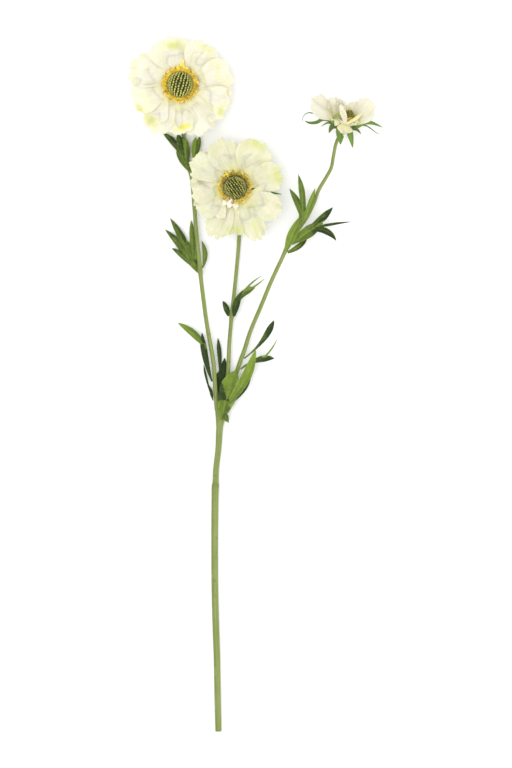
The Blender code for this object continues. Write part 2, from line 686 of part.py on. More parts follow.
def pincushion_of(name, bloom):
    """The domed disc, covered in closed buds raised from its surface."""
    bm = bmesh.new()
    bmesh.ops.create_icosphere(bm, subdivisions=bloom["bud_rows"], radius=1.0)
    low = [v for v in bm.verts if v.co.z < -0.02]
    bmesh.ops.delete(bm, geom=low, context="VERTS")
    pits = bmesh.ops.poke(bm, faces=bm.faces[:])["verts"]
    for pit in pits:
        pit.co *= 0.90
    rim = [e for e in bm.edges if e.is_boundary]
    for vert in {v for e in rim for v in e.verts}:
        vert.co.z = 0.0
    bmesh.ops.holes_fill(bm, edges=rim)
    bmesh.ops.scale(bm, vec=(bloom["disc"], bloom["disc"], bloom["dome"]), verts=bm.verts[:])
    place = bloom_frame(bloom) @ Matrix.Translation((0, 0, HUB_HIGH + CONTACT_GAP))
    bmesh.ops.transform(bm, matrix=place, verts=bm.verts[:])
    add_solid(name, bm, BUD_GREEN, 0.6)


def floret_ring_of(name, bloom):
    """The collar of small yellow florets round the disc: one ring with a toothed, waved edge."""
    outer, rim = bloom["collar"]
    inner = bloom["disc"] + CONTACT_GAP + 0.1
    low = HUB_HIGH + CONTACT_GAP + PETAL_THICKNESS / 2 + 0.2
    steps = 28
    rows = 2
    points, faces = [], []
    for i in range(rows + 1):
        t = i / rows
        for k in range(steps):
            tooth = 1.0 if k % 2 else 0.62
            radius = inner + (outer - inner) * t * tooth
            turn = 2 * math.pi * k / steps
            height = low + (rim - low) * t + (0.5 if k % 2 else -0.3) * t
            points.append(Vector((radius * math.cos(turn), radius * math.sin(turn), height)))
    for i in range(rows):
        for k in range(steps):
            a, b = i * steps + k, i * steps + (k + 1) % steps
            faces.append((a, a + steps, b + steps, b))
    bm = thicken(points, faces, PETAL_THICKNESS)
    bmesh.ops.transform(bm, matrix=bloom_frame(bloom), verts=bm.verts[:])
    add_solid(name, bm, FLORET_YELLOW, 0.6)


def involucre_of(name, bloom):
    """The green cup under the bloom with its ring of pointed bracts."""
    frame = bloom_frame(bloom)
    rim = 0.5 * bloom["disc"] + 2.2
    top = HUB_LOW - CONTACT_GAP
    profile = [(2.1, -NECK_DEPTH), (2.7, -NECK_DEPTH + 2.0), (0.75 * rim, -4.2), (rim, top - 0.8),
               (rim, top)]
    shapes = [turned(profile, 12, frame)]
    root = 0.55 * rim
    for direction, reach, width, lift, droop in bloom["bracts"]:
        place = frame @ blade_frame(direction, lift, 0.0, root, top - 1.1)
        shapes.append(bract(place, reach - root, width, droop))
    shapes += [blade(*bloom_blade) for bloom_blade in bloom["blades"]]
    join_as_one(name, shapes, LEAF_GREEN, 0.6)


def main():
    for old in list(bpy.data.objects):
        bpy.data.objects.remove(old)
    main_stem()
    for side in STALKS:
        stalk(side)
    for name, (growth, lobes) in LEAVES.items():
        leaf(name, growth, lobes)
    for side, bloom in BLOOMS.items():
        petals_of(f"petals_{side}", bloom)
        pincushion_of(f"pincushion_{side}", bloom)
        floret_ring_of(f"floret_ring_{side}", bloom)
        involucre_of(f"involucre_{side}", bloom)


main()
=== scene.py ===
import math

import bpy
import numpy as np
from mathutils import Matrix, Vector
from mathutils.geometry import delaunay_2d_cdt


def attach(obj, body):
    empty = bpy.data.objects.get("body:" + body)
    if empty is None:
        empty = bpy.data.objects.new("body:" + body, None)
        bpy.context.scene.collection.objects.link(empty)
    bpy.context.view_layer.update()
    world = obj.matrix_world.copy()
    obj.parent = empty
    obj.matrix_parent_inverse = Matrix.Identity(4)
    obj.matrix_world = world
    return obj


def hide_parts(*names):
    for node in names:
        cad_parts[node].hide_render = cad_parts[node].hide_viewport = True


# The looks of a cut scabiosa stem lying on a table. Lengths are millimetres and angles are degrees
# until Shape.build() turns them into metres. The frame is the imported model's: +Y runs up the stem
# towards the blooms and +Z points up from the table, the plane z = 0.
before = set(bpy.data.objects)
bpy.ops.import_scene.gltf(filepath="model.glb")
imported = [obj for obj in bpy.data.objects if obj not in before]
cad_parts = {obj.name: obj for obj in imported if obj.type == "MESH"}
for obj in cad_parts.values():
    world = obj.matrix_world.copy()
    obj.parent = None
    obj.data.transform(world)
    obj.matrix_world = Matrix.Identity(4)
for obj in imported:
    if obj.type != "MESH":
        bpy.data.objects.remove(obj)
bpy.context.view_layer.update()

MM = 0.001

# Driving dimensions, the same as the model's.
STEM_CUT_Y = -262.2
FORK_Y = 15.6
CONTACT_GAP = 0.3
LEAF_THICKNESS = 0.75
JOINT_SWELL = 0.45
NECK_DEPTH = 9.0
HUB_LOW, HUB_HIGH = -1.2, 1.4

# Sizes that belong to the looks alone.
PETAL_SKIN = 0.34
BLADE_SKIN = 0.42
BRACT_SKIN = 0.4
ROUND_SHARE = 0.951
TABLE_SOFTNESS = 0.6
PETAL_ROOT = 0.9
HUB_MARGIN = 1.7
RING_MARGIN = 0.9
RING_LIFT = 0.6
FLORET_PITCH = 1.75
BUD_HEIGHT, BUD_SUNK = 2.4, 1.45
PETAL_SHARE = 0.97
STALKED_BELLY = 0.7

# The main stem's middle line with its radius: x, y, radius.
MAIN_STEM = [
    (-0.9, STEM_CUT_Y, 2.8), (-1.6, -234.0, 2.85), (-2.2, -199.0, 2.95), (-3.4, -164.5, 3.0),
    (-4.1, -130.0, 3.0), (-4.2, -95.0, 3.05), (-3.9, -60.5, 3.15), (-3.6, -49.5, 3.3),
    (-3.4, -46.5, 2.8), (-2.9, -34.5, 2.7), (-1.0, -17.5, 2.75), (0.0, 0.0, 3.0), (0.8, 8.0, 3.2),
    (1.8, FORK_Y, 3.4),
]
# How much wider than high the stem grows towards its fork.
FORK_SPREAD = {0.0: 1.0, 8.0: 1.3, FORK_Y: 1.75}

# Flower stalks. The route runs from the fork to under the bloom: x, y, z. The joints are the
# heights up the stem, in y, where leaves grow and the stalk swells.
STALKS = {
    "left": {
        "radii": (1.95, 1.6),
        "joints": (137.0, 226.0),
        "route": [
            (-2.3, FORK_Y + CONTACT_GAP, 3.2), (-3.2, 28.5, 4.0), (-4.2, 43.5, 5.5),
            (-5.3, 58.0, 7.0), (-8.8, 78.0, 8.6), (-11.4, 93.5, 9.2), (-13.9, 112.5, 9.6),
            (-16.3, 132.5, 9.6), (-18.0, 151.5, 9.0), (-19.7, 167.0, 8.0), (-21.7, 190.5, 5.6),
            (-23.8, 214.5, 3.2), (-27.0, 229.0, 2.1), (-29.6, 243.0, 1.7), (-31.6, 260.0, 1.7),
            (-33.4, 275.0, 3.4),
        ],
    },
    "middle": {
        "radii": (1.8, 1.6),
        "joints": (98.0,),
        "route": [
            (1.8, FORK_Y + CONTACT_GAP, 3.2), (4.8, 31.0, 4.2), (7.4, 50.0, 5.4), (8.5, 73.5, 6.4),
            (10.1, 92.5, 6.6), (11.7, 108.5, 6.4), (13.6, 125.5, 5.8), (15.6, 147.0, 3.6),
            (16.9, 164.5, 2.0), (17.2, 180.0, 1.7), (16.2, 192.0, 4.2),
        ],
    },
    "right": {
        "radii": (1.95, 1.45),
        "joints": (157.0,),
        "route": [
            (5.9, FORK_Y + CONTACT_GAP, 3.2), (10.0, 31.5, 4.4), (16.3, 53.0, 6.2),
            (21.6, 68.0, 7.6), (27.1, 85.0, 9.2), (35.6, 105.0, 11.2), (44.3, 126.0, 13.2),
            (53.6, 146.0, 14.8), (59.3, 158.0, 15.6), (67.3, 170.5, 16.2), (75.3, 182.0, 16.8),
            (81.7, 195.0, 17.4), (85.6, 205.5, 17.8), (91.1, 215.0, 18.0), (96.3, 224.5, 18.0),
            (98.2, 234.0, 17.6), (100.2, 244.5, 16.8),
        ],
    },
}

# Leaf blades. Each leaf grows from a stalk at a height y, on the side given as an angle round the
# stalk, with 0 to the right, 90 on top and 180 to the left. Its lobes run from a start to a tip in
# x, y, z; a start of None is the place where the leaf grows. Then come width, sideways bow, belly
# (where the lobe is widest), stalk (its width at the start), both as shares, and upward arch.
LEAVES = {
    "leaf_neck_left": (("left", 222.5, 100), [
        (None, (-35.4, 246.0, 7.6), 8.6, -1.0, 0.62, 0.18, 1.0),
        ((-31.0, 233.0, 6.8), (-36.2, 254.8, 5.4), 9.4, 0.6, 0.45, 0.60, 0.8),
        ((-34.0, 239.0, 7.0), (-49.6, 256.4, 2.6), 5.6, 1.4, 0.45, 0.55, 0.8),
        ((-29.0, 229.0, 5.8), (-28.8, 251.0, 9.0), 8.6, -0.6, 0.50, 0.50, 0.6),
    ]),
    "leaf_neck_right": (("left", 224.0, 55), [
        (None, (-20.6, 252.0, 8.4), 6.0, 0.8, 0.72, 0.25, 0.6),
        ((-23.4, 229.0, 4.9), (-17.0, 253.6, 5.0), 4.2, 1.0, 0.66, 0.40, 0.6),
    ]),
    "leaf_left_upper": (("left", 135.0, 235), [
        (None, (-27.6, 162.0, 3.4), 11.0, -1.2, 0.62, 0.14, 0.2),
        ((-26.0, 151.0, 4.4), (-42.8, 182.2, 2.2), 6.4, 0.8, 0.42, 0.50, 1.2),
        ((-26.5, 146.5, 4.4), (-47.4, 172.4, 1.2), 6.2, 1.6, 0.42, 0.50, 1.2),
        ((-25.5, 142.5, 4.4), (-41.6, 156.2, 1.0), 5.0, 1.2, 0.42, 0.50, 0.6),
        ((-22.9, 147.0, 4.6), (-24.6, 180.4, 4.4), 5.4, 0.6, 0.55, 0.60, 0.6),
    ]),
    "leaf_left_upper_small": (("left", 138.5, 320), [
        (None, (-15.6, 162.6, 5.4), 4.4, 2.6, 0.50, 0.25, 0.6),
    ]),
    "leaf_middle_small": (("middle", 97.0, 200), [
        (None, (2.7, 110.6, 3.2), 5.0, 0.6, 0.45, 0.35, 0.6),
    ]),
    "leaf_middle_curled": (("middle", 97.0, 40), [
        (None, (20.2, 119.4, 11.0), 6.2, -1.6, 0.40, 0.30, 1.6),
        ((17.4, 111.6, 10.4), (30.8, 121.6, 8.4), 5.6, -2.0, 0.62, 0.45, 1.0),
        ((20.0, 117.0, 10.8), (37.4, 132.2, 13.0), 1.5, -1.4, 0.40, 0.80, 0.6),
        ((22.5, 118.6, 10.4), (40.0, 130.2, 9.6), 1.5, 0.8, 0.40, 0.80, 0.4),
    ]),
    "leaf_left_lower": (("left", 41.0, 155), [
        (None, (-15.0, 83.0, 8.4), 5.6, -1.5, 0.68, 0.22, 0.8),
        ((-12.0, 70.4, 7.2), (-36.6, 91.6, 2.4), 6.2, 2.0, 0.48, 0.30, 1.0),
    ]),
    "leaf_left_lower_thin": (("left", 24.5, 180), [
        (None, (-13.6, 55.4, 5.6), 2.1, -0.8, 0.74, 0.50, 0.6),
        ((-6.2, 26.5, 3.4), (-9.2, 37.6, 3.0), 2.8, 0.4, 0.40, 0.60, 0.3),
    ]),
    "leaf_fork_back": (None, [
        ((1.2, 20.5, 1.0), (0.8, 51.0, 1.2), 11.0, -0.4, 0.62, 0.35, 0.0),
        ((0.6, 42.0, 1.2), (-1.4, 78.6, 3.4), 3.8, 0.6, 0.70, 0.55, 0.4),
        ((1.8, 41.0, 1.2), (4.4, 61.0, 0.9), 6.2, 0.4, 0.45, 0.60, 0.2),
    ]),
    "leaf_fork_front": (None, [
        ((1.8, 7.6, 7.3), (14.6, 50.8, 12.6), 17.4, -1.0, 0.60, 0.16, 2.2),
        ((9.0, 23.0, 9.6), (31.4, 68.6, 17.2), 8.6, 3.0, 0.52, 0.45, 1.6),
        ((6.0, 25.0, 9.4), (-0.6, 31.8, 8.4), 4.6, 0.6, 0.40, 0.70, 0.3),
        ((4.6, 13.0, 7.9), (8.0, 5.0, 6.0), 4.8, 0.4, 0.35, 0.60, 0.3),
    ]),
    "leaf_fork_side": (("right", 22.5, 0), [
        (None, (27.4, 44.2, 3.2), 4.2, 1.0, 0.60, 0.40, 0.8),
    ]),
    "leaf_fork_right_low": (("right", 52.0, 20), [
        (None, (47.6, 60.6, 10.0), 5.6, -3.2, 0.72, 0.30, 1.6),
        ((38.4, 61.4, 10.6), (50.4, 78.6, 15.0), 1.5, 1.2, 0.40, 0.80, 0.6),
    ]),
    "leaf_fork_right_high": (("right", 61.5, 25), [
        (None, (47.2, 93.6, 15.4), 5.4, 3.0, 0.78, 0.25, 1.0),
    ]),
    "leaf_right_upper": (("right", 153.5, 80), [
        (None, (74.6, 186.0, 22.0), 8.6, -1.6, 0.45, 0.30, 1.2),
        ((71.5, 177.0, 21.4), (67.9, 219.0, 27.0), 5.2, 2.0, 0.62, 0.80, 1.2),
        ((71.5, 183.0, 21.8), (60.3, 206.8, 20.8), 5.8, 1.2, 0.45, 0.70, 1.4),
        ((72.6, 179.0, 21.2), (82.5, 207.0, 25.4), 5.0, 0.6, 0.50, 0.60, 1.0),
        ((69.6, 175.0, 21.0), (68.8, 187.0, 18.8), 2.4, 0.4, 0.40, 0.70, 0.3),
    ]),
    "leaf_right_outer": (("right", 160.0, 32), [
        (None, (89.5, 177.2, 20.8), 10.4, -1.0, 0.55, 0.10, 1.8),
        ((78.5, 172.8, 20.8), (97.9, 190.6, 24.6), 6.2, 0.6, 0.50, 0.55, 1.0),
        ((82.0, 173.2, 20.2), (114.6, 178.2, 22.6), 2.4, -0.6, 0.35, 0.80, 0.8),
        ((80.0, 171.4, 20.0), (101.1, 162.0, 8.4), 5.4, -3.8, 0.50, 0.60, 3.0),
    ]),
    "leaf_right_low": (("right", 153.0, -30), [
        (None, (76.5, 165.8, 10.4), 4.6, 1.8, 0.50, 0.45, 0.6),
    ]),
}
# How light each leaf's lobes are at their start and tip: 0 is dark green and 1 light green, and
# below 0 the mottling stays dark too. This is partly each lobe's own green and partly painted
# light: leaves lying under others, such as the fork's back leaf, are painted dark with shade,
# and lit lobes, such as the fork's front leaf, are painted light.
LEAF_TONES_AND_SHADE = {
    "leaf_neck_left": [(0.40, 0.15), (0.15, 0.20), (0.05, 0.20), (0.30, 0.60)],
    "leaf_neck_right": [(0.60, 0.85), (0.40, 0.40)],
    "leaf_left_upper": [(0.40, 0.35), (0.40, 0.20), (0.42, 0.25), (0.40, 0.20), (0.45, 0.60)],
    "leaf_left_upper_small": [(0.45, 0.55)],
    "leaf_middle_small": [(-0.05, 0.05)],
    "leaf_middle_curled": [(-0.05, 0.05), (0.15, 0.60), (0.50, 0.70), (0.50, 0.70)],
    "leaf_left_lower": [(-0.15, -0.05), (0.30, 1.0)],
    "leaf_left_lower_thin": [(-0.25, -0.20), (-0.25, -0.20)],
    "leaf_fork_back": [(-0.35, -0.30), (-0.30, -0.05), (-0.35, -0.25)],
    "leaf_fork_front": [(0.45, 0.70), (0.60, 1.05), (-0.30, -0.20), (0.20, 0.40)],
    "leaf_fork_side": [(-0.25, -0.15)],
    "leaf_fork_right_low": [(0.65, -0.10), (0.60, 0.80)],
    "leaf_fork_right_high": [(0.40, -0.15)],
    "leaf_right_upper": [(0.82, 0.68), (0.50, 0.45), (0.45, 0.30), (0.70, 0.85), (0.35, 0.35)],
    "leaf_right_outer": [(0.50, 0.60), (0.20, -0.05), (-0.05, -0.05), (0.05, -0.05)],
    "leaf_right_low": [(0.65, 0.0)],
}

# Blooms. Centre and axis say where a bloom is and faces, disc is its bud dome's radius and dome its
# height, and eye is how far the dome and collar stand off the axis. The buds stand in rows turned
# by bud_turn, bud_grid apart across and along the rows, on a dome bud_share times as large, and
# bud_glow is how light they are at the least and at the most. The collar is the floret ring's outer
# radius and rim height, and frills the share of small florets that it has.
# A petal is: direction round the axis, reach from the axis, width, lift, curl, roll. The inner ones
# lie flatter by settle and are fullness times as wide. Tapers gives the petals, by direction, that
# narrow towards their tips, softness is how deep the ruffles are, mellow how green the cream is and
# paper how papery. A slip is a narrow blade among the petals: how leafy, how yellow, width, belly,
# route. A bract is: direction, reach, width, lift, droop. A blade is a longer bract along a route:
# width, belly, points in x, y, z; blade_tones say how light each is. A tint is: kind, place (x, y)
# from the axis, radii, turn, strength. A strap is a larger floret lobe: direction, reach, width,
# lift, warmth; one with a warmth below 0 is a white flap that grows inwards.
BLOOM_DEFAULTS = {"frills": 1.0, "mellow": 0.0, "paper": 0.0, "slips": [], "tapers": {},
                  "blades": [], "blade_tones": [], "tints": [], "straps": []}
BLOOMS = {
    "left": {
        "centre": (-33.2, 294.3, 22.5),
        "axis": (-0.03, 0.05, 1.0),
        "disc": 11.2,
        "dome": 9.0,
        "bud_turn": -15,
        "bud_glow": (0.4, 1.3),
        "bud_share": 0.93,
        "bud_grid": (2.7, 2.15),
        "eye": (-0.4, 1.7, 0.0),
        "collar": (16.4, 6.2),
        "settle": 9,
        "fullness": 1.2,
        "softness": 0.6,
        "outer": [
            (10, 46.6, 38, 8, 1.5, 6), (54, 44.8, 33, 5, 2.0, 6), (106, 45.0, 37, 6, 1.5, 6),
            (155, 48.6, 31, 4, 2.5, 6), (192, 44.8, 34, 6, 0.5, 6), (236, 47.4, 27, 3, 2.5, 6),
            (264, 42.6, 30, 5, 2.0, 6), (297, 46.6, 29, 4, 3.0, 6), (331, 46.0, 34, 6, 1.5, 6),
        ],
        "inner": [
            (22, 35.0, 37, 13, 2.5, 2), (78, 31.0, 34, 12, 2.5, 2), (131, 34.0, 36, 13, 2.0, 2),
            (196, 31.0, 41, 12, 2.5, 2), (252, 31.0, 36, 12, 2.5, 2), (312, 33.5, 41, 13, 3.0, 2),
        ],
        "bracts": [
            (8, 30, 4.4, -4, 1.5), (52, 33, 4.4, -8, 1.5), (98, 30, 4.4, -4, 1.5),
            (140, 32, 4.4, -8, 1.5), (188, 30, 4.4, -5, 1.5), (232, 31, 4.4, -9, 1.5),
            (278, 28, 4.4, -6, 1.5), (322, 32, 4.4, -8, 1.5),
        ],
        "tints": [
            ("green", (-6.2, 35.8), (7.0, 4.0), 0, 0.85),
            ("green", (21.1, 33.0), (6.0, 3.5), -25, 0.5),
            ("green", (34.5, -21.8), (3.0, 4.2), -20, 0.85),
            ("gold", (3.0, -34.8), (6.6, 2.8), 15, 1.0),
            ("green", (-35.5, -19.0), (4.8, 3.0), -60, 0.8),
            ("green", (-25.8, -29.0), (7.0, 4.4), -45, 0.8),
            ("green", (-40.0, 12.0), (3.0, 9.0), 0, 0.2),
            ("blush", (41.2, -3.9), (5.0, 4.5), 0, 0.6),
            ("green", (32.7, 15.8), (2.6, 7.0), 0, 0.35),
            ("green", (1.0, -19.5), (1.5, 6.0), 0, 0.5),
            ("green", (21.5, -13.0), (9.0, 1.5), -45, 0.45),
            ("green", (19.2, 9.3), (6.5, 1.6), -70, 0.5),
        ],
        "straps": [
            (83, 22.4, 5.0, 16, 0.9), (98, 17.6, 4.6, 22, 0.3), (66, 17.0, 4.4, 24, 0.4),
        ],
    },
    "middle": {
        "centre": (14.5, 207.5, 25.0),
        "axis": (0.05, 0.07, 1.0),
        "disc": 10.4,
        "dome": 9.0,
        "bud_turn": 38,
        "bud_glow": (-0.4, 0.9),
        "bud_share": 0.86,
        "bud_grid": (2.1, 1.9),
        "eye": (-1.0, -0.4, 0.0),
        "collar": (15.4, 6.2),
        "settle": 10,
        "fullness": 1.2,
        "softness": 0.95,
        "mellow": 1.0,
        "outer": [
            (18, 43.0, 26, 10, -1.0, 6), (63, 46.2, 31, 8, 1.0, 6), (112, 45.2, 27, 9, 1.0, 6),
            (146, 46.4, 27, 8, 1.0, 6), (178, 40.6, 31, 9, 1.5, 6), (208, 40.2, 27, 5, 2.0, 6),
            (245, 48.8, 23, 2, 3.0, 6), (294, 50.8, 20, -1, 2.0, 6), (329, 45.4, 24, 6, 1.5, 6),
        ],
        "inner": [
            (34, 31.0, 30, 17, 2.0, 3), (86, 29.5, 29, 17, 2.0, 3), (140, 33.0, 32, 16, 2.5, 3),
            (200, 29.5, 36, 16, 2.5, 3), (267, 42.0, 21, 3, 2.0, 3), (322, 30.0, 30, 14, 2.5, 3),
        ],
        "bracts": [
            (-8, 39.5, 4.0, 4, 0.5), (40, 32, 4.4, -6, 1.5), (86, 30, 4.4, -8, 1.5),
            (130, 32, 4.4, -4, 1.5), (180, 30, 4.4, -6, 1.5), (226, 33, 4.4, -10, 1.5),
            (272, 28, 4.4, -12, 1.5), (314, 38, 4.4, -6, 1.5),
        ],
        "tints": [
            ("green", (18.0, 37.5), (8.0, 4.0), -40, 0.7),
            ("green", (-0.6, -37.0), (9.0, 4.5), 0, 0.5),
            ("green", (36.0, 9.0), (4.0, 8.0), 10, 0.55),
            ("green", (17.0, -36.0), (9.0, 2.0), -66, 0.4),
            ("green", (-20.0, 28.6), (3.0, 5.0), 30, 0.35),
            ("green", (-18.0, -3.0), (1.8, 8.0), 8, 0.5),
            ("gold", (-14.0, -3.0), (2.0, 7.0), 8, 0.5),
            ("gold", (-8.0, 11.5), (4.0, 2.4), 40, 0.5),
            ("green", (12.0, -16.5), (6.0, 1.6), 30, 0.3),
            ("blush", (-27.0, -3.0), (8.0, 12.0), 0, 0.22),
            ("blush", (-8.0, -28.0), (9.0, 5.0), 0, 0.22),
            ("blush", (30.0, -17.0), (9.0, 5.0), 0, 0.22),
            ("blush", (-10.0, 30.0), (9.0, 6.0), 0, 0.25),
        ],
        "straps": [
            (98, 16.6, 3.2, 30, 0.1), (74, 16.6, 3.2, 30, 0.1), (122, 16.4, 3.0, 26, 0.4),
            (236, 18.8, 7.0, 8, -1.0), (252, 18.4, 8.0, 16, -1.0), (272, 19.0, 7.0, 8, -1.0),
        ],
    },
    "right": {
        "centre": (108.0, 264.8, 19.3),
        "axis": (0.34, 0.88, 0.34),
        "disc": 5.4,
        "dome": 8.2,
        "bud_turn": 0,
        "bud_glow": (0.0, 0.5),
        "bud_share": 0.86,
        "bud_grid": (1.6, 1.5),
        "eye": (1.6, 0.6, 1.8),
        "collar": (6.7, 4.8),
        "settle": 0,
        "fullness": 1.0,
        "frills": 0.5,
        "softness": 0.7,
        "paper": 1.0,
        "slips": [
            (1.0, 0.0, 3.0, 0.55, [(99.8, 262.6, 25.0), (96.9, 265.3, 27.0), (99.6, 268.2, 28.4),
                                   (103.6, 271.4, 29.0)]),
            (0.0, 0.2, 5.2, 0.6, [(108.4, 262.6, 27.2), (107.8, 267.0, 28.6),
                                  (106.2, 272.0, 29.4), (104.2, 278.6, 28.8)]),
            (0.0, 0.9, 3.0, 0.5, [(109.6, 262.6, 26.6), (113.6, 264.2, 28.0),
                                   (118.0, 267.0, 29.2), (122.4, 270.6, 29.8)]),
        ],
        "outer": [
            (176, 35.4, 28, 15, -1.0, -24), (146, 25.6, 17, 46, -1.0, -20),
            (120, 22.5, 12, 52, -1.0, 0), (48, 26.0, 19, 58, -1.0, 18), (8, 33.6, 27, 62, -2.0, 27),
            (322, 15.5, 11, 40, 0.0, 10), (277, 17.5, 20, -36, 1.5, 0),
            (222, 16.0, 11, 8, 1.0, -10),
        ],
        "inner": [
            (160, 18.0, 13, 46, -1.0, -10), (84, 17.0, 13, 56, -1.0, 0),
            (22, 18.0, 13, 56, -1.0, 10),
        ],
        "tapers": {277: 0.8},
        "bracts": [(62, 19.6, 4.4, -28, 0.5), (118, 19.6, 4.4, -40, 0.5)],
        "blades": [
            (1.1, 0.30, [(105.0, 262.0, 18.8), (100.9, 263.4, 18.5), (93.1, 267.0, 18.3),
                         (86.2, 269.5, 18.3), (78.4, 272.3, 17.8), (73.7, 270.7, 17.1),
                         (71.5, 266.3, 16.3), (71.1, 258.1, 14.8)]),
            (3.0, 0.60, [(105.0, 262.0, 19.8), (99.5, 262.8, 19.8), (94.5, 265.6, 19.9),
                         (89.0, 266.5, 19.7), (83.6, 263.9, 19.0), (77.6, 263.7, 17.7),
                         (73.2, 265.6, 16.9)]),
            (1.6, 0.50, [(105.0, 261.6, 19.3), (98.5, 262.6, 19.5), (93.0, 263.4, 19.3),
                         (87.5, 260.2, 17.8)]),
            (5.6, 0.40, [(105.0, 261.6, 20.8), (101.0, 261.4, 20.8), (97.0, 260.1, 20.3),
                         (94.4, 254.7, 18.3)]),
            (8.0, 0.35, [(106.0, 261.6, 22.5), (104.5, 257.6, 23.9), (104.1, 251.6, 23.7),
                         (104.4, 244.7, 22.7)]),
            (5.6, 0.45, [(108.3, 260.7, 21.8), (111.3, 257.1, 22.8), (113.2, 251.1, 22.7),
                         (115.0, 241.6, 21.3)]),
            (2.8, 0.45, [(109.0, 260.8, 20.0), (114.5, 258.6, 20.0), (118.5, 257.7, 19.6),
                         (122.2, 253.8, 18.7)]),
            (4.6, 0.55, [(109.5, 260.4, 19.2), (113.6, 258.8, 18.8), (116.8, 259.6, 18.8),
                         (120.4, 261.9, 19.0), (125.0, 263.9, 19.4), (132.0, 263.2, 19.4),
                         (141.3, 259.4, 18.9)]),
            (1.2, 0.30, [(109.0, 261.0, 19.2), (114.0, 259.6, 19.0), (120.0, 261.0, 18.8),
                         (126.0, 261.2, 18.3), (131.5, 258.0, 17.5), (136.5, 254.4, 16.5),
                         (141.0, 254.0, 15.7)]),
        ],
        "blade_tones": [0.15, 0.30, 0.15, 0.05, 0.50, 0.75, -0.1, 0.75, 0.05],
    },
}
for side in BLOOMS:
    BLOOMS[side] = BLOOM_DEFAULTS | BLOOMS[side]

# The random seeds of each bloom's pieces.
SEEDS = {
    "petals": {"left": 11, "middle": 22, "right": 33},
    "buds": {"left": 5, "middle": 6, "right": 7},
    "florets": {"left": 51, "middle": 62, "right": 73},
    "bracts": {"left": 81, "middle": 92, "right": 97},
}

# The stage, in metres. The camera stands straight above the table.
FLOOR_HALF = 4.0
SKY_STRENGTH = 1.09
SUN_STRENGTH, SUN_SOFTNESS, SUN_TURN = 1.25, 0.8, (9, -12, 0)
LENS, SENSOR_HEIGHT = 200, 36
VIEW_CENTRE, VIEW_HEIGHT = (0.0316, 0.0385), 0.6651

# Colours as (red, green, blue), linear.
CREAM = (0.765, 0.731, 0.589)
CREAM_SHADE = (0.705, 0.675, 0.464)
MELLOW = (0.655, 0.645, 0.475)
MELLOW_SHADE = (0.585, 0.585, 0.355)
PAPER = (0.690, 0.665, 0.560)
PAPER_SHADE = (0.640, 0.610, 0.485)
# Painted shade for petal creases, also the olive edge colour of petal rims.
CREASE_SHADE_AND_RIM_OLIVE = (0.568, 0.559, 0.327)
PETAL_PINK = (0.930, 0.800, 0.690)
PETAL_SAGE = (0.720, 0.770, 0.470)
THROAT_YELLOW = (0.774, 0.688, 0.206)
TINT_GREEN = (0.500, 0.535, 0.125)
TINT_GOLD = (0.722, 0.665, 0.070)
TINT_BLUSH = (0.757, 0.619, 0.464)
LEAF_DARK = (0.013, 0.030, 0.003)
LEAF_LIGHT = (0.165, 0.242, 0.022)
LEAF_VEIN = (0.240, 0.330, 0.085)
LEAF_BACK = (0.146, 0.206, 0.052)
BRACT_DARK = (0.010, 0.034, 0.005)
BRACT_LIGHT = (0.135, 0.315, 0.014)
STEM_SAGE = (0.267, 0.314, 0.101)
STEM_SHADE = (0.110, 0.150, 0.030)
STEM_SCAR = (0.075, 0.085, 0.020)
STEM_PITH = (0.499, 0.482, 0.275)
BUD_PALE = (0.568, 0.542, 0.155)
BUD_GAP_SHADE = (0.030, 0.036, 0.005)
BUD_RIPE = (0.258, 0.215, 0.043)
FLORET_GOLD = (0.88, 0.61, 0.012)
FLORET_PALE = (0.800, 0.722, 0.206)
FLORET_BROWN = (0.26, 0.085, 0.006)
FLORET_OLIVE = (0.12, 0.125, 0.010)
FLORET_SHADOW = (0.030, 0.024, 0.004)
FLOOR_WHITE = (0.95, 0.95, 0.95)
FLOOR_SHADE = (0.88, 0.88, 0.87)


def smooth_route(points, steps):
    """Points on a Catmull-Rom curve through the given points, with that many steps in each span."""
    ends = [2 * points[0] - points[1], *points, 2 * points[-1] - points[-2]]
    made = []
    for i in range(1, len(ends) - 2):
        a, b, c, d = ends[i - 1:i + 3]
        for k in range(steps):
            t = k / steps
            made.append(0.5 * (2 * b + (c - a) * t + (2 * a - 5 * b + 4 * c - d) * t ** 2
                               + (3 * b - a - 3 * c + d) * t ** 3))
    made.append(points[-1].copy())
    return made


def unit(vectors):
    """Vectors of length 1, along the last axis of an array."""
    return vectors / np.maximum(np.linalg.norm(vectors, axis=-1, keepdims=True), 1e-9)


def placed(points, matrix):
    """Points moved by a matrix."""
    m = np.array(matrix)
    return points @ m[:3, :3].T + m[:3, 3]


def grid_quads(rows, cols, closed=False):
    """Quads of a grid of points; a closed grid joins its last column to its first."""
    i = np.arange(rows - 1)[:, None]
    j = np.arange(cols if closed else cols - 1)[None, :]
    k = (j + 1) % cols
    quads = np.stack([i * cols + j, (i + 1) * cols + j, (i + 1) * cols + k, i * cols + k], axis=-1)
    return quads.reshape(-1, 4)


def grid_rims(rows, cols, closed=False):
    """The loops of points along a grid's edge, each ending where it starts."""
    if closed:
        first = np.arange(cols)
        return [np.append(first[::-1], first[-1]), np.append(first, 0) + (rows - 1) * cols]
    bottom = np.arange(cols - 1)
    right = np.arange(rows - 1) * cols + cols - 1
    top = np.arange(cols - 1, 0, -1) + (rows - 1) * cols
    left = np.arange(rows - 1, 0, -1) * cols
    loop = np.concatenate([bottom, right, top, left])
    return [np.append(loop, loop[0])[::-1]]


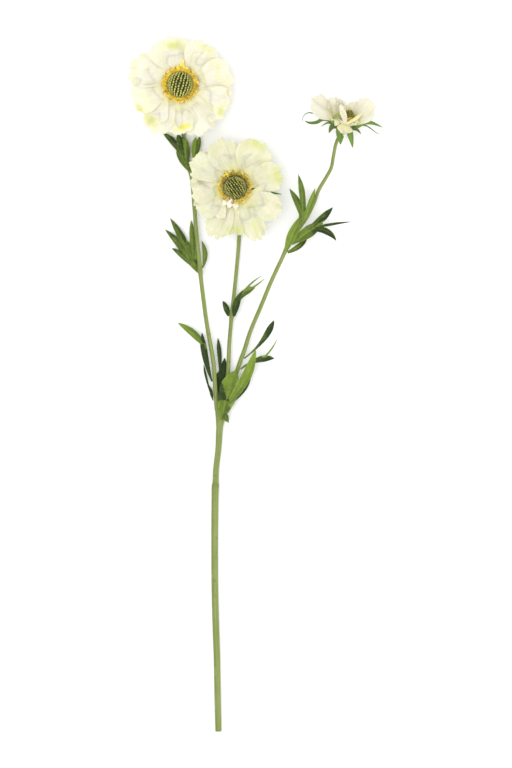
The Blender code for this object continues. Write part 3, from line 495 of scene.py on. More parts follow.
class Shape:
    """A mesh in the making: points in millimetres, faces, and values that its material reads."""

    def __init__(self):
        self.points = []
        self.faces = []
        self.values = []
        self.count = 0

    def add(self, points, faces, **values):
        """Adds points and faces. Each value is one number, or one for each point."""
        self.points.append(points)
        self.faces += [tuple(f) for f in (np.asarray(faces) + self.count).tolist()]
        self.values.append({k: np.broadcast_to(v, len(points)) for k, v in values.items()})
        self.count += len(points)

    def add_faces(self, faces):
        """Faces of any number of corners over points already added last."""
        self.faces += [tuple(int(c) for c in f) for f in faces]

    def sheet(self, grid, thickness, closed=False, **values):
        """A thin closed solid from a grid of points, thickened along its own normals."""
        rows, cols, _ = grid.shape
        along = np.gradient(grid, axis=0)
        across = np.gradient(grid, axis=1)
        if closed:
            across = np.roll(grid, -1, axis=1) - np.roll(grid, 1, axis=1)
        half = unit(np.cross(along, across)) * (0.5 * thickness)
        points = np.concatenate([(grid + half).reshape(-1, 3), (grid - half).reshape(-1, 3)])
        quads = grid_quads(rows, cols, closed)
        count = rows * cols
        faces = [quads, quads[:, ::-1] + count]
        for rim in grid_rims(rows, cols, closed):
            faces.append(np.stack([rim[:-1], rim[1:], rim[1:] + count, rim[:-1] + count], axis=-1))
        spread = {k: np.tile(np.broadcast_to(v, (rows, cols)).ravel(), 2)
                  for k, v in values.items()}
        spread["under"] = np.repeat([0.0, 1.0], count)
        self.add(points, np.concatenate(faces), **spread)

    def rod(self, path, radii, sides, ribs=0, rib_depth=0.0, **values):
        """A closed rod along a path, with lengthwise ribs if they are asked for."""
        path = np.asarray(path, float)
        radii = np.broadcast_to(np.asarray(radii, float), (len(path),))
        along = unit(np.gradient(path, axis=0))
        up = np.zeros_like(path)
        guide = np.array([0.0, 0.0, 1.0]) if abs(along[0][2]) < 0.9 else np.array([1.0, 0.0, 0.0])
        for i, step in enumerate(along):
            guide = unit(guide - step * guide.dot(step))
            up[i] = guide
        side = np.cross(along, up)
        turn = 2 * np.pi * (np.arange(sides) + 0.5) / sides
        reach = radii[:, None] * (1 + rib_depth * np.cos(ribs * turn)[None, :])
        grid = (path[:, None, :] + side[:, None, :] * (reach * np.cos(turn))[..., None]
                + up[:, None, :] * (reach * np.sin(turn))[..., None])
        rows = len(path)
        first = self.count
        spread = {k: np.repeat(np.broadcast_to(v, rows), sides) for k, v in values.items()}
        spread["round"] = np.tile(turn / (2 * np.pi), rows)
        # Painted shade on the rod's left flank, read by the stem material.
        spread["flank"] = np.tile(np.maximum(0.0, 0.2 - 1.2 * np.cos(turn)), rows)
        self.add(grid.reshape(-1, 3), grid_quads(rows, sides, True)[:, ::-1], **spread)
        ring = np.arange(sides) + first
        self.add_faces([ring, ring[::-1] + (rows - 1) * sides])

    def build(self, name, material, slot, node, sharp_angle=55.0):
        """Makes the object, rides it on the plant and lets it stand for its node."""
        points = np.concatenate(self.points)
        mesh = bpy.data.meshes.new(name)
        mesh.from_pydata((points * MM).tolist(), [], self.faces)
        for key in sorted({k for part in self.values for k in part}):
            layer = mesh.attributes.new(key, "FLOAT", "POINT")
            parts = [part.get(key, np.zeros(len(p))) for part, p in zip(self.values, self.points)]
            layer.data.foreach_set("value", np.concatenate(parts).astype(np.float32))
        mesh.shade_smooth()
        mesh.set_sharp_from_angle(angle=math.radians(sharp_angle))
        mesh.materials.append(material)
        piece = bpy.data.objects.new(name, mesh)
        bpy.context.scene.collection.objects.link(piece)
        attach(piece, "root")
        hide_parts(node)
        return piece


def resting(points):
    """Points that would sink into the table, pressed up onto it without crossing each other."""
    low = points[..., 2] < TABLE_SOFTNESS
    pressed = TABLE_SOFTNESS * np.exp((points[..., 2] - TABLE_SOFTNESS) / TABLE_SOFTNESS)
    points[..., 2] = np.where(low, pressed, points[..., 2])
    return points


def crinkle(x, y, rng, wavelength, terms=6):
    """A soft random relief of about unit height over x and y."""
    total = np.zeros_like(x)
    for _ in range(terms):
        angle = rng.uniform(0, 2 * np.pi)
        pace = 2 * np.pi / (wavelength * rng.uniform(0.7, 1.5))
        total += np.sin(pace * (x * np.cos(angle) + y * np.sin(angle)) + rng.uniform(0, 6.28))
    return total / math.sqrt(terms)


class Recipe:
    """A material's node tree, built up by short calls that return sockets."""

    def __init__(self, name, **settings):
        self.material = bpy.data.materials.new(name)
        self.material.use_nodes = True
        self.tree = self.material.node_tree
        self.shader = self.tree.nodes["Principled BSDF"]
        for key, value in settings.items():
            self.shader.inputs[key.replace("_", " ")].default_value = value

    def node(self, kind, inputs=None, **settings):
        made = self.tree.nodes.new("ShaderNode" + kind)
        for key, value in settings.items():
            setattr(made, key, value)
        for key, value in (inputs or {}).items():
            self.feed(made.inputs[key], value)
        return made

    def feed(self, socket, value):
        if isinstance(value, bpy.types.NodeSocket):
            self.tree.links.new(value, socket)
        else:
            socket.default_value = value

    def value(self, name):
        """A value stored on the mesh's points."""
        return self.node("Attribute", attribute_name=name).outputs["Fac"]

    def maths(self, operation, a, b=0.0, clamp=False):
        return self.node("Math", {0: a, 1: b}, operation=operation, use_clamp=clamp).outputs[0]

    def scaled(self, source, factor, offset=None):
        """The source times a factor, plus an offset where one is given."""
        made = self.maths("MULTIPLY", source, factor)
        return made if offset is None else self.maths("ADD", offset, made)

    def band(self, source, low, high):
        """Eases from 0 to 1 as the source goes from low to high."""
        made = self.node("MapRange", {"Value": source, "From Min": low, "From Max": high})
        made.interpolation_type = "SMOOTHSTEP"
        return made.outputs["Result"]

    def spot(self):
        """The object's own coordinates, in metres."""
        return self.node("TexCoord").outputs["Object"]

    def joined(self, x, y, z=0.0):
        return self.node("CombineXYZ", {0: x, 1: y, 2: z}).outputs[0]

    def noise(self, where, scale, detail=3.0, roughness=0.55):
        made = self.node("TexNoise", {"Vector": where, "Scale": scale, "Detail": detail,
                                      "Roughness": roughness})
        return made.outputs["Fac"]

    def grain(self, scale, detail):
        """Noise all through the object, with its scale in waves to the metre."""
        return self.noise(self.spot(), scale, detail)

    def fibres(self, across, along, shift=0.0, detail=4.0):
        """Noise drawn out over a surface; across and along are (stored value, waves per unit)."""
        x, y = (self.scaled(self.value(name), pace) for name, pace in (across, along))
        return self.noise(self.joined(x, y, shift), 1.0, detail, 0.6)

    def mix(self, share, a, b):
        made = self.node("Mix", data_type="RGBA")
        for socket, value in ((made.inputs[0], share), (made.inputs[6], a), (made.inputs[7], b)):
            self.feed(socket, (*value, 1.0) if isinstance(value, tuple) else value)
        return made.outputs[2]

    def tinted(self, colour, hue, share, strength):
        """The colour, moved towards a hue by a share times a strength."""
        return self.mix(self.scaled(share, strength), colour, hue)

    def bump(self, *layers):
        """Stacks height layers, each (height, strength, distance in mm), under the shader."""
        normal = None
        for height, strength, distance in layers:
            made = self.node("Bump", {"Height": height, "Strength": strength,
                                      "Distance": distance * MM})
            if normal:
                self.tree.links.new(normal, made.inputs["Normal"])
            normal = made.outputs["Normal"]
        self.tree.links.new(normal, self.shader.inputs["Normal"])

    def finish(self, colour, roughness):
        self.feed(self.shader.inputs["Base Color"], colour)
        self.feed(self.shader.inputs["Roughness"], roughness)
        return self.material


def petal_material():
    """Cream petal tissue: yellow in the throat, green and gold tints, creases from the root in
    painted shade.
    """
    r = Recipe("petal_tissue", Subsurface_Weight=0.3, Subsurface_Scale=0.0025,
               Sheen_Weight=0.10, Sheen_Roughness=0.5, Specular_IOR_Level=0.3)
    r.shader.inputs["Subsurface Radius"].default_value = (1.0, 0.9, 0.5)
    tone = r.value("tone")
    veins = r.fibres(("across", 24.0), ("along", 2.2), tone)
    pleats = r.fibres(("across", 8.0), ("along", 1.6), r.maths("ADD", tone, 4.0), 3.0)
    crossing = r.maths("ABSOLUTE", r.maths("SUBTRACT", pleats, 0.5))
    shaded_crease = r.maths("SUBTRACT", 1.0, r.band(crossing, 0.0, 0.035))
    light, shade = CREAM, CREAM_SHADE
    for name, pale, deep in (("mellow", MELLOW, MELLOW_SHADE), ("paper", PAPER, PAPER_SHADE)):
        light = r.mix(r.value(name), light, pale)
        shade = r.mix(r.value(name), shade, deep)
    colour = r.mix(r.band(r.grain(90.0, 2.0), 0.35, 0.75), light, shade)
    patches = r.grain(340.0, 3.0)
    colour = r.tinted(colour, shade, r.band(patches, 0.45, 0.7), 0.45)
    colour = r.tinted(colour, shade, r.band(veins, 0.5, 0.8), 0.30)
    # Painted shade along the crease lines, and the same olive-grey as the petal rim's own edge
    # colour.
    colour = r.tinted(colour, CREASE_SHADE_AND_RIM_OLIVE, shaded_crease, 0.34)
    colour = r.tinted(colour, CREASE_SHADE_AND_RIM_OLIVE, r.value("rim"), 0.12)
    for scale, hue in ((230.0, PETAL_PINK), (310.0, PETAL_SAGE)):
        colour = r.tinted(colour, hue, r.band(r.grain(scale, 3.0), 0.5, 0.72), 0.16)
    colour = r.tinted(colour, THROAT_YELLOW, r.value("throat"), r.band(veins, 0.1, 0.7))
    for name, tint in (("green", TINT_GREEN), ("gold", TINT_GOLD), ("blush", TINT_BLUSH)):
        mottled = r.maths("MULTIPLY", r.value(name), r.band(veins, 0.05, 0.55), clamp=True)
        colour = r.mix(mottled, colour, tint)
    colour = r.tinted(colour, LEAF_LIGHT, r.value("leafy"), 0.9)
    fine = r.grain(1400.0, 2.0)
    r.bump((shaded_crease, -0.35, 0.35), (veins, 0.45, 0.6), (patches, 0.6, 0.8), (fine, 0.12, 0.15))
    return r.finish(colour, r.scaled(fine, 0.25, 0.5))


def leaf_material(name, dark, light):
    """A leaf or bract: streaked along its length, paler on its veins, underneath, and on its rim,
    where the pale is partly painted highlight.
    """
    r = Recipe(name, Specular_IOR_Level=0.2, Subsurface_Weight=0.05, Subsurface_Scale=0.001)
    streaks = r.fibres(("off", 1.3), ("run", 0.10), r.value("tone"))
    mottle = r.grain(160.0, 3.0)
    cells = r.grain(1600.0, 2.0)
    uneven = r.maths("ADD", r.scaled(r.maths("SUBTRACT", streaks, 0.5), 1.1),
                     r.scaled(r.maths("SUBTRACT", mottle, 0.5), 0.7))
    tone = r.maths("ADD", r.value("tone"), uneven, clamp=True)
    colour = r.mix(tone, dark, light)
    # Veins are paler; the rim's pale margin is partly its own colour and partly a painted
    # highlight.
    for name in ("vein", "edge"):
        colour = r.tinted(colour, LEAF_VEIN, r.value(name), r.scaled(tone, 0.7, 0.1))
    colour = r.tinted(colour, LEAF_BACK, r.value("under"), 0.55)
    r.bump((streaks, 0.4, 0.5), (mottle, 0.2, 0.4), (cells, 0.3, 0.12))
    return r.finish(colour, r.scaled(cells, 0.25, 0.5))


def stem_material():
    """Sage green stem skin: lengthwise fibres, painted shade on its left flank, scars, and a pale
    fibrous cut.
    """
    r = Recipe("stem_skin", Specular_IOR_Level=0.25, Subsurface_Weight=0.05, Subsurface_Scale=0.001)
    fibres = r.fibres(("round", 46.0), ("height", 0.035))
    stripes = r.fibres(("round", 11.0), ("height", 0.008), 3.0, 3.0)
    patches = r.grain(60.0, 3.0)
    specks = r.grain(900.0, 2.0)
    colour = r.tinted(STEM_SAGE, STEM_SHADE, r.band(fibres, 0.38, 0.70), 0.45)
    colour = r.tinted(colour, STEM_SHADE, r.band(stripes, 0.48, 0.66), 0.55)
    colour = r.tinted(colour, LEAF_LIGHT, r.band(patches, 0.4, 0.7), 0.35)
    # Painted shade down the stem's left flank, broken up by patches.
    flank = r.maths("MULTIPLY", r.value("flank"), r.band(patches, 0.2, 0.6), clamp=True)
    colour = r.tinted(colour, STEM_SHADE, flank, 0.55)
    colour = r.tinted(colour, STEM_SCAR, r.band(r.grain(300.0, 2.0), 0.66, 0.74), 0.55)
    colour = r.tinted(colour, STEM_SHADE, r.value("joint"), 0.32)
    cut = r.mix(r.band(r.grain(2200.0, 2.0), 0.4, 0.62), STEM_PITH, STEM_SAGE)
    colour = r.mix(r.value("cut"), colour, cut)
    r.bump((fibres, 0.5, 0.35), (specks, 0.2, 0.12))
    return r.finish(colour, r.scaled(specks, 0.2, 0.45))


def bud_material():
    """Closed buds: pale sage crowns over feet dark with painted shade between the buds."""
    r = Recipe("closed_buds", Specular_IOR_Level=0.2)
    grain = r.grain(1500.0, 3.0)
    lit = r.maths("MULTIPLY", r.band(r.value("tip"), 0.3, 0.75),
                  r.scaled(r.value("tone"), 0.5, 0.5))
    # Feet and core take painted shade, as the gaps between buds lie in shadow.
    colour = r.mix(lit, BUD_GAP_SHADE, BUD_PALE)
    colour = r.tinted(colour, LEAF_LIGHT, r.band(grain, 0.45, 0.7), 0.3)
    colour = r.tinted(colour, BUD_RIPE, r.value("ripe"), lit)
    r.bump((grain, 0.4, 0.15))
    return r.finish(colour, r.scaled(grain, 0.25, 0.45))


def floret_material():
    """Golden florets: warm at the foot, pale at the rim, with brown curls, olive stubs and painted
    shadow at the foot.
    """
    r = Recipe("golden_florets", Subsurface_Weight=0.08, Subsurface_Scale=0.001, Sheen_Weight=0.08)
    grain = r.grain(1200.0, 3.0)
    stains = r.scaled(r.band(r.grain(260.0, 2.0), 0.55, 0.75), 0.35)
    colour = r.mix(r.value("pale"), FLORET_GOLD, FLORET_PALE)
    colour = r.mix(r.value("white"), colour, PAPER)
    colour = r.mix(r.maths("MAXIMUM", r.value("brown"), stains), colour, FLORET_BROWN)
    colour = r.mix(r.value("olive"), colour, FLORET_OLIVE)
    colour = r.mix(r.value("shadow"), colour, FLORET_SHADOW)
    r.bump((grain, 0.3, 0.15))
    return r.finish(colour, r.scaled(grain, 0.2, 0.5))


def main_stem_skin(material):
    """The cut stem: ribbed, with a sheath ring at its old joint, wider towards the fork."""
    route = smooth_route([Vector((x, y, radius)) for x, y, radius in MAIN_STEM], 12)
    spread_at, spreads = zip(*sorted(FORK_SPREAD.items()))
    sides, ribs, rib_depth = 48, 12, 0.022
    turn = 2 * np.pi * (np.arange(sides) + 0.5) / sides
    rows, heights, joints = [], [], []
    for point in route:
        x, y, radius = point
        radius *= ROUND_SHARE
        wide = np.interp(y, spread_at, spreads)
        groove = 1 + rib_depth * np.cos(ribs * turn + 0.004 * y) - rib_depth
        reach = radius * groove
        rows.append(np.stack([x + reach * wide * np.cos(turn), np.full(sides, y),
                              radius + reach * np.sin(turn)], axis=-1))
        heights.append(y)
        joints.append(math.exp(-((y + 49.0) / 3.0) ** 2))
    grid = np.array(rows)
    count = len(route)
    shape = Shape()
    # The flank value paints shade down the stem's left side.
    shape.add(grid.reshape(-1, 3), grid_quads(count, sides, True),
              round=np.tile(turn / (2 * np.pi), count), height=np.repeat(heights, sides),
              joint=np.repeat(joints, sides),
              flank=np.tile(np.maximum(0.0, 0.2 - 1.2 * np.cos(turn)), count))
    cut_face(shape, grid[0], -1.0)
    cut_face(shape, grid[-1], 1.0)
    shape.build("main_stem_skin", material, "stem", "main_stem")


def cut_face(shape, ring, outwards):
    """Closes a stem's end with a slightly hollowed face, pale and fibrous where it was cut."""
    middle = ring.mean(axis=0)
    rows = []
    for share in (1.0, 0.93, 0.7, 0.4, 0.12):
        row = middle + (ring - middle) * share
        row[:, 1] -= outwards * 0.35 * (1 - share)
        rows.append(row)
    grid = np.array(rows)
    sides = len(ring)
    quads = grid_quads(len(rows), sides, True)
    first = shape.count
    shape.add(grid.reshape(-1, 3), quads[:, ::-1] if outwards < 0 else quads,
              cut=np.repeat([0.0, 1.0, 1.0, 1.0, 1.0], sides))
    last = np.arange(sides) + first + (len(rows) - 1) * sides
    shape.add_faces([last[::-1] if outwards < 0 else last])


def stalk_line(side, steps):
    """The stalk's middle line, from the fork to the neck of its bloom."""
    bloom = BLOOMS[side]
    axis = Vector(bloom["axis"]).normalized()
    top = Vector(bloom["centre"]) - axis * (NECK_DEPTH + CONTACT_GAP)
    points = [Vector(p) for p in STALKS[side]["route"]] + [top - axis * 4.0, top]
    return smooth_route(points, steps)


def stalk_radius(side, y, share):
    """The stalk's radius at a share of its length, with a swelling at each joint."""
    thick, thin = STALKS[side]["radii"]
    swell = sum(math.exp(-((y - joint) / 4.0) ** 2) for joint in STALKS[side]["joints"])
    return thick + (thin - thick) * share + JOINT_SWELL * swell


def stalk_skin(side, material):
    line = stalk_line(side, 9)
    last = len(line) - 1
    radii = [ROUND_SHARE * stalk_radius(side, p.y, i / last) for i, p in enumerate(line)]
    joint = [max(math.exp(-((p.y - j) / 3.0) ** 2) for j in STALKS[side]["joints"]) for p in line]
    shape = Shape()
    shape.rod(line, radii, 32, ribs=8, rib_depth=0.03, height=[p.y for p in line], joint=joint)
    shape.build(f"stalk_{side}_skin", material, "stem", f"stalk_{side}")


def growing_point(side, y, turn):
    """The place on a stalk's skin, at a height y and an angle round it, where a leaf begins."""
    line = stalk_line(side, 2)
    i = next(i for i, point in enumerate(line) if point.y > y)
    low, high = line[i - 1], line[i]
    point = low.lerp(high, (y - low.y) / (high.y - low.y))
    along = (high - low).normalized()
    across = along.cross(Vector((0, 0, 1))).normalized()
    out = across * math.cos(math.radians(turn)) + across.cross(along) * math.sin(math.radians(turn))
    radius = stalk_radius(side, y, i / (len(line) - 1))
    return point + out * (radius + CONTACT_GAP + LEAF_THICKNESS / 2)


def lobe_rib(lobe, steps):
    """The lobe's middle line as points, bowed sideways and arched upwards."""
    start, tip, _, bow, _, _, arch = lobe
    start, tip = Vector(start), Vector(tip)
    run = Vector((tip.x - start.x, tip.y - start.y, 0.0)).normalized()
    across = Vector((run.y, -run.x, 0.0))
    line = []
    for i in range(steps + 1):
        s = i / steps
        hump = 4 * s * (1 - s)
        line.append(start.lerp(tip, s) + across * (bow * hump) + Vector((0, 0, arch * hump)))
    return line


def lobe_half_width(lobe, s):
    _, _, width, _, belly, stalk_share, _ = lobe
    if s < belly:
        swell = math.sin(0.5 * math.pi * s / belly) ** (3.5 if belly >= STALKED_BELLY else 1.0)
        return 0.5 * width * (stalk_share + (1 - stalk_share) * swell)
    return 0.5 * width * math.cos(0.5 * math.pi * (s - belly) / (1 - belly)) ** 0.85


def lobe_outline(lobe, steps, rng):
    """The lobe's outline in plan, a little uneven along its edges."""
    line = lobe_rib(lobe, steps)
    left, right = [], []
    for i, point in enumerate(line[:-1]):
        s = i / steps
        run = line[i + 1] - point
        across = Vector((run.y, -run.x)).normalized() * lobe_half_width(lobe, s)
        uneven = 0.05 * math.sin(9 * s + rng.uniform(-0.4, 0.4)) * s
        left.append(Vector((point.x, point.y)) - across * (1 + uneven))
        right.append(Vector((point.x, point.y)) + across * (1 - uneven))
    return right + [Vector((line[-1].x, line[-1].y))] + left[::-1]


def leaf_plan(lobes, rng, spacing=1.0, steps=26):
    """The leaf flat in plan, its lobes joined into one: points, and triangles over them."""
    plan, outlines = [], []
    for lobe in lobes:
        outline = lobe_outline(lobe, steps, rng)
        outlines.append(list(range(len(plan), len(plan) + len(outline))))
        plan += outline
    low = np.min([tuple(p) for p in plan], axis=0)
    high = np.max([tuple(p) for p in plan], axis=0)
    for i, y in enumerate(np.arange(low[1], high[1], spacing * 0.866)):
        for x in np.arange(low[0] + (i % 2) * spacing / 2, high[0], spacing):
            plan.append(Vector((x, y)))
    points, _, faces, *_ = delaunay_2d_cdt(plan, [], outlines, 1, 0.01)
    used = sorted({c for f in faces for c in f})
    renumber = {old: new for new, old in enumerate(used)}
    faces = np.array([[renumber[c] for c in f] for f in faces])
    return np.array([tuple(points[k]) for k in used]), faces


def rim_quads(faces, count):
    """Quads from the open edges of a sheet of triangles to its copy, count points further on."""
    edges = {}
    for a, b, c in faces.tolist():
        for pair in ((a, b), (b, c), (c, a)):
            edges[pair] = edges.get(pair[::-1]) is None
            if not edges[pair]:
                edges[pair[::-1]] = False
    return [(b, a, a + count, b + count) for (a, b), alone in edges.items() if alone]


def leaf_skin(name, material):
    """A lobed blade with a sunken midrib, side veins, a waved edge and a raised rib underneath."""
    growth, lobes = LEAVES[name]
    if growth:
        lobes = [(growing_point(*growth), *lobes[0][1:])] + lobes[1:]
    flat, faces = leaf_plan(lobes, np.random.default_rng(len(name) * 7 + len(lobes)))
    x, y = flat[:, 0], flat[:, 1]

    # Each point's nearest lobe, its share of the way along that lobe's rib and how far off it is.
    ribs = np.array([[tuple(p) for p in lobe_rib(lobe, 60)] for lobe in lobes])
    reach = ((x[:, None, None] - ribs[None, :, :, 0]) ** 2
             + (y[:, None, None] - ribs[None, :, :, 1]) ** 2)
    nearest = reach.argmin(axis=2)
    squared = reach.min(axis=2)
    heights = ribs[np.arange(len(lobes))[None, :], nearest, 2]
    weight = 1.0 / (squared + 0.6) ** 2
    z = (weight * heights).sum(axis=1) / weight.sum(axis=1)
    lobe_of = squared.argmin(axis=1)
    rows = np.arange(len(x))
    off_rib = np.sqrt(squared[rows, lobe_of])
    near = ribs[lobe_of, nearest[rows, lobe_of]]
    ahead = unit(np.gradient(ribs, axis=1))[lobe_of, nearest[rows, lobe_of]]
    turned = ahead[:, 0] * (y - near[:, 1]) - ahead[:, 1] * (x - near[:, 0])
    share = nearest[rows, lobe_of] / 60.0
    half = np.array([lobe_half_width(lobes[k], min(s, 0.995)) for k, s in zip(lobe_of, share)])
    length = np.array([(Vector(lobe[1]) - Vector(lobe[0])).length for lobe in lobes])[lobe_of]
    run = share * length
    edge = np.clip(off_rib / np.maximum(half, 0.4), 0, 1)

    z -= 0.045 * np.minimum(squared.min(axis=1), 16.0)
    z += 0.35 * edge ** 2 * np.sin(run * 0.55 + 1.7 * lobe_of)
    midrib = np.exp(-(off_rib / 0.42) ** 2) * (1 - share ** 4)
    slant = (run - 0.9 * off_rib) / 3.1
    side_vein = np.maximum(0.0, np.cos(2 * np.pi * slant)) ** 10 * (1 - edge) ** 0.4 * (half > 1.4)
    top = z + 0.5 * BLADE_SKIN - 0.20 * midrib - 0.10 * side_vein
    base = z - 0.5 * BLADE_SKIN - 0.30 * midrib
    both = np.concatenate([np.stack([x, y, top], axis=-1), np.stack([x, y, base], axis=-1)])

    foot, tip = np.array(LEAF_TONES_AND_SHADE[name]).T
    # One half of each lobe is painted lighter and the other darker, as light and shade across its
    # fold.
    tone = foot[lobe_of] + (tip - foot)[lobe_of] * share + 0.10 * np.tanh(turned / 0.5)
    values = {"vein": np.clip(midrib + 0.45 * side_vein, 0, 1), "edge": edge ** 10, "tone": tone,
              "run": run + 31.0 * lobe_of, "off": off_rib * np.sign(turned)}
    count = len(x)
    shape = Shape()
    shape.add(resting(both), np.concatenate([faces, faces[:, ::-1] + count]),
              under=np.repeat([0.0, 1.0], count), **{k: np.tile(v, 2) for k, v in values.items()})
    shape.add_faces(rim_quads(faces, count))
    shape.build(f"{name}_skin", material, "leaf", name)


def bloom_frame(bloom):
    """The matrix from a bloom's space, +Z out of its face and +X to the right, to the table."""
    axis = Vector(bloom["axis"]).normalized()
    right = (Vector((1, 0, 0)) - axis * axis.x).normalized()
    up = axis.cross(right)
    made = Matrix((right, up, axis)).transposed().to_4x4()
    made.translation = Vector(bloom["centre"])
    return made


def spoke(direction, out, up):
    """The matrix to a bloom's space from one that faces outwards, that far off the axis."""
    return Matrix.Rotation(math.radians(direction), 4, "Z") @ Matrix.Translation((out, 0, up))


def blade_frame(direction, lift, roll, root, level):
    """The matrix from a petal's space, +X along it and +Z off its face, to its bloom's space."""
    tilt = Matrix.Rotation(math.radians(-lift), 4, "Y")
    twist = Matrix.Rotation(math.radians(roll), 4, "X")
    return spoke(direction, root, level) @ tilt @ twist


def tints_at(bloom, points):
    """How strongly each kind of tint marks the points, given in the bloom's own space."""
    made = {kind: np.zeros(points.shape[:-1]) for kind in ("green", "gold", "blush")}
    for kind, (x, y), (long, short), turn, strength in bloom["tints"]:
        a = math.radians(turn)
        dx, dy = points[..., 0] - x, points[..., 1] - y
        u = (dx * math.cos(a) + dy * math.sin(a)) / long
        w = (dy * math.cos(a) - dx * math.sin(a)) / short
        made[kind] = np.maximum(made[kind], strength * np.exp(-(u ** 2 + w ** 2) ** 1.3))
    return made


def petal_grid(length, width, curl, phase, ruffle, cells, rng, taper=0.0, softness=1.0, flare=0.78):
    """A fan-shaped petal as a grid of points: broad folds from the root and a soft, waved rim."""
    rows, cols = cells
    s = np.linspace(0.0, 1.0, rows)[:, None]
    v = np.linspace(-1.0, 1.0, cols)[None, :]
    spread = 0.22 + 0.78 * np.sin(0.5 * np.pi * np.minimum(1.0, s / flare))
    spread = spread * (1 - taper * s ** 2)
    rim = 1 - 0.24 * s * np.abs(v) ** 2.4
    for waves, size in ((2.5, 0.024), (4.0, 0.020), (7.0, 0.014), (12.0, 0.007)):
        rim = rim + size * s ** 3 * np.cos(np.pi * waves * v + rng.uniform(0, 6.28))
    notch = rng.uniform(-0.6, 0.6)
    rim = rim - rng.uniform(0.02, 0.06) * s ** 4 * np.exp(-((v - notch) / 0.09) ** 2)
    x = length * s * rim
    sway = 0.05 * np.sin(5.0 * s + rng.uniform(0, 6.28)) * s
    y = 0.5 * width * (v * spread + sway * np.abs(v) ** 3)
    wave = np.sin(2.1 * np.pi * v + phase) + 0.5 * np.sin(4.1 * v - 2 * phase)
    z = s ** 2 * (ruffle * wave - curl)
    frill = np.maximum(s ** 3, np.abs(v) ** 5 * s)
    scale = softness * min(1.0, width / 30.0)
    for pace, size, grip in ((5.0, 0.8, 1.0), (9.0, 0.55, 1.4), (17.0, 0.22, 3.0)):
        wobble = pace * v + 2.0 * s * np.abs(v) ** 3 + rng.uniform(0, 6.28)
        z = z + scale * size * frill ** grip * np.sin(wobble)
    for _ in range(5):
        fold = rng.uniform(-0.8, 0.8)
        depth = rng.uniform(-0.7, 0.7) * scale
        z = z + depth * np.exp(-((v - fold - 0.1 * s) / 0.11) ** 2) * s ** 1.2
    z = z + 0.14 * scale * crinkle(x + 0 * v, y, rng, 8.0) * s
    return np.stack([x + 0 * v, y, z], axis=-1), s + 0 * v, v + 0 * s


def petals_skin(side, material):
    """The two whorls of ruffled petals, each a thin blade of its own sunk into one hub."""
    bloom = BLOOMS[side]
    frame_of_bloom = bloom_frame(bloom)
    root = bloom["disc"] + PETAL_ROOT
    whorls = [("outer", (38, 46), 1.5, 1.7, 0.0, 0.78), ("inner", (32, 46), 0.8, 2.3, 1.0, 0.5)]
    rng = np.random.default_rng(SEEDS["petals"][side])
    shape = Shape()
    for whorl, cells, ruffle, pace, first, flare in whorls:
        for i, (direction, reach, width, lift, curl, roll) in enumerate(bloom[whorl]):
            level = -0.3 + 0.4 * (i % 2) if whorl == "outer" else 0.55 + 0.3 * (i % 2)
            lift -= bloom["settle"] * (whorl == "inner")
            width *= bloom["fullness"] if whorl == "inner" else 1.0
            blade = blade_frame(direction, lift, roll, root, level)
            grid, along, across = petal_grid(PETAL_SHARE * reach - root, width, curl,
                                             pace * i + first, ruffle, cells, rng,
                                             bloom["tapers"].get(direction, 0.0),
                                             bloom["softness"], flare)
            local = placed(grid, blade)
            out = np.linalg.norm(local, axis=-1)
            throat = np.exp(-((out - bloom["disc"]) / 9.0) ** 2)
            shape.sheet(resting(placed(local, frame_of_bloom)), PETAL_SKIN, along=along,
                        across=across, tone=rng.uniform(0, 9), throat=throat * 0.8,
                        rim=np.maximum(along, np.abs(across)) ** 14, mellow=bloom["mellow"],
                        paper=bloom["paper"], **tints_at(bloom, local))
    for leafy, yellow, width, belly, route in bloom["slips"]:
        grid, along, across = blade_grid(width, belly, route, 13, 0.4)
        grid[..., 2] += 0.3 * (1 - leafy) * crinkle(grid[..., 0], grid[..., 1], rng, 4.0)
        shape.sheet(grid, PETAL_SKIN, along=along, across=across, leafy=leafy, throat=yellow,
                    paper=bloom["paper"])
    hub = np.array([(0, 0, z) for z in np.linspace(HUB_LOW, HUB_HIGH, 4)])
    shape.rod(placed(hub, frame_of_bloom), bloom["disc"] + HUB_MARGIN, 90, ribs=15, rib_depth=0.035,
              throat=0.35, mellow=bloom["mellow"], paper=bloom["paper"])
    shape.build(f"petals_{side}_skin", material, "petal", f"petals_{side}")


def bud_template(rings=9, sides=12):
    """A closed four-lobed bud, one unit wide and one high, with a dimpled crown."""
    rows, tips = [], []
    turn = 2 * np.pi * np.arange(sides) / sides
    for i in range(rings):
        t = i / (rings - 1)
        angle = t * 0.5 * math.pi
        radius = 0.5 * (math.cos(angle) ** 0.42 if t < 1 else 0.0) + 0.02
        lobed = radius * (1 + 0.14 * t * np.cos(4 * turn))
        height = math.sin(angle) - 0.16 * max(0.0, t - 0.75) * 4
        rows.append(np.stack([lobed * np.cos(turn), lobed * np.sin(turn),
                              np.full(sides, height)], axis=-1))
        tips.append(t)
    return np.array(rows), np.array(tips)


def dome_core(shape, place, wide, high, rows=14, sides=40):
    """The core that the buds stand on, dark with the painted shade of the gaps between them."""
    core = []
    for i in range(rows):
        angle = 0.5 * math.pi * i / (rows - 1)
        radius = 0.9 * wide * math.cos(angle) + 0.02
        core.append([(radius * math.cos(2 * math.pi * k / sides),
                      radius * math.sin(2 * math.pi * k / sides),
                      0.86 * high * math.sin(angle)) for k in range(sides)])
    first = shape.count
    shape.add(placed(np.array(core), place).reshape(-1, 3), grid_quads(rows, sides, True)[:, ::-1],
              tip=0.0, tone=0.0)
    ring = np.arange(sides) + first
    shape.add_faces([ring[::-1], ring + (rows - 1) * sides])


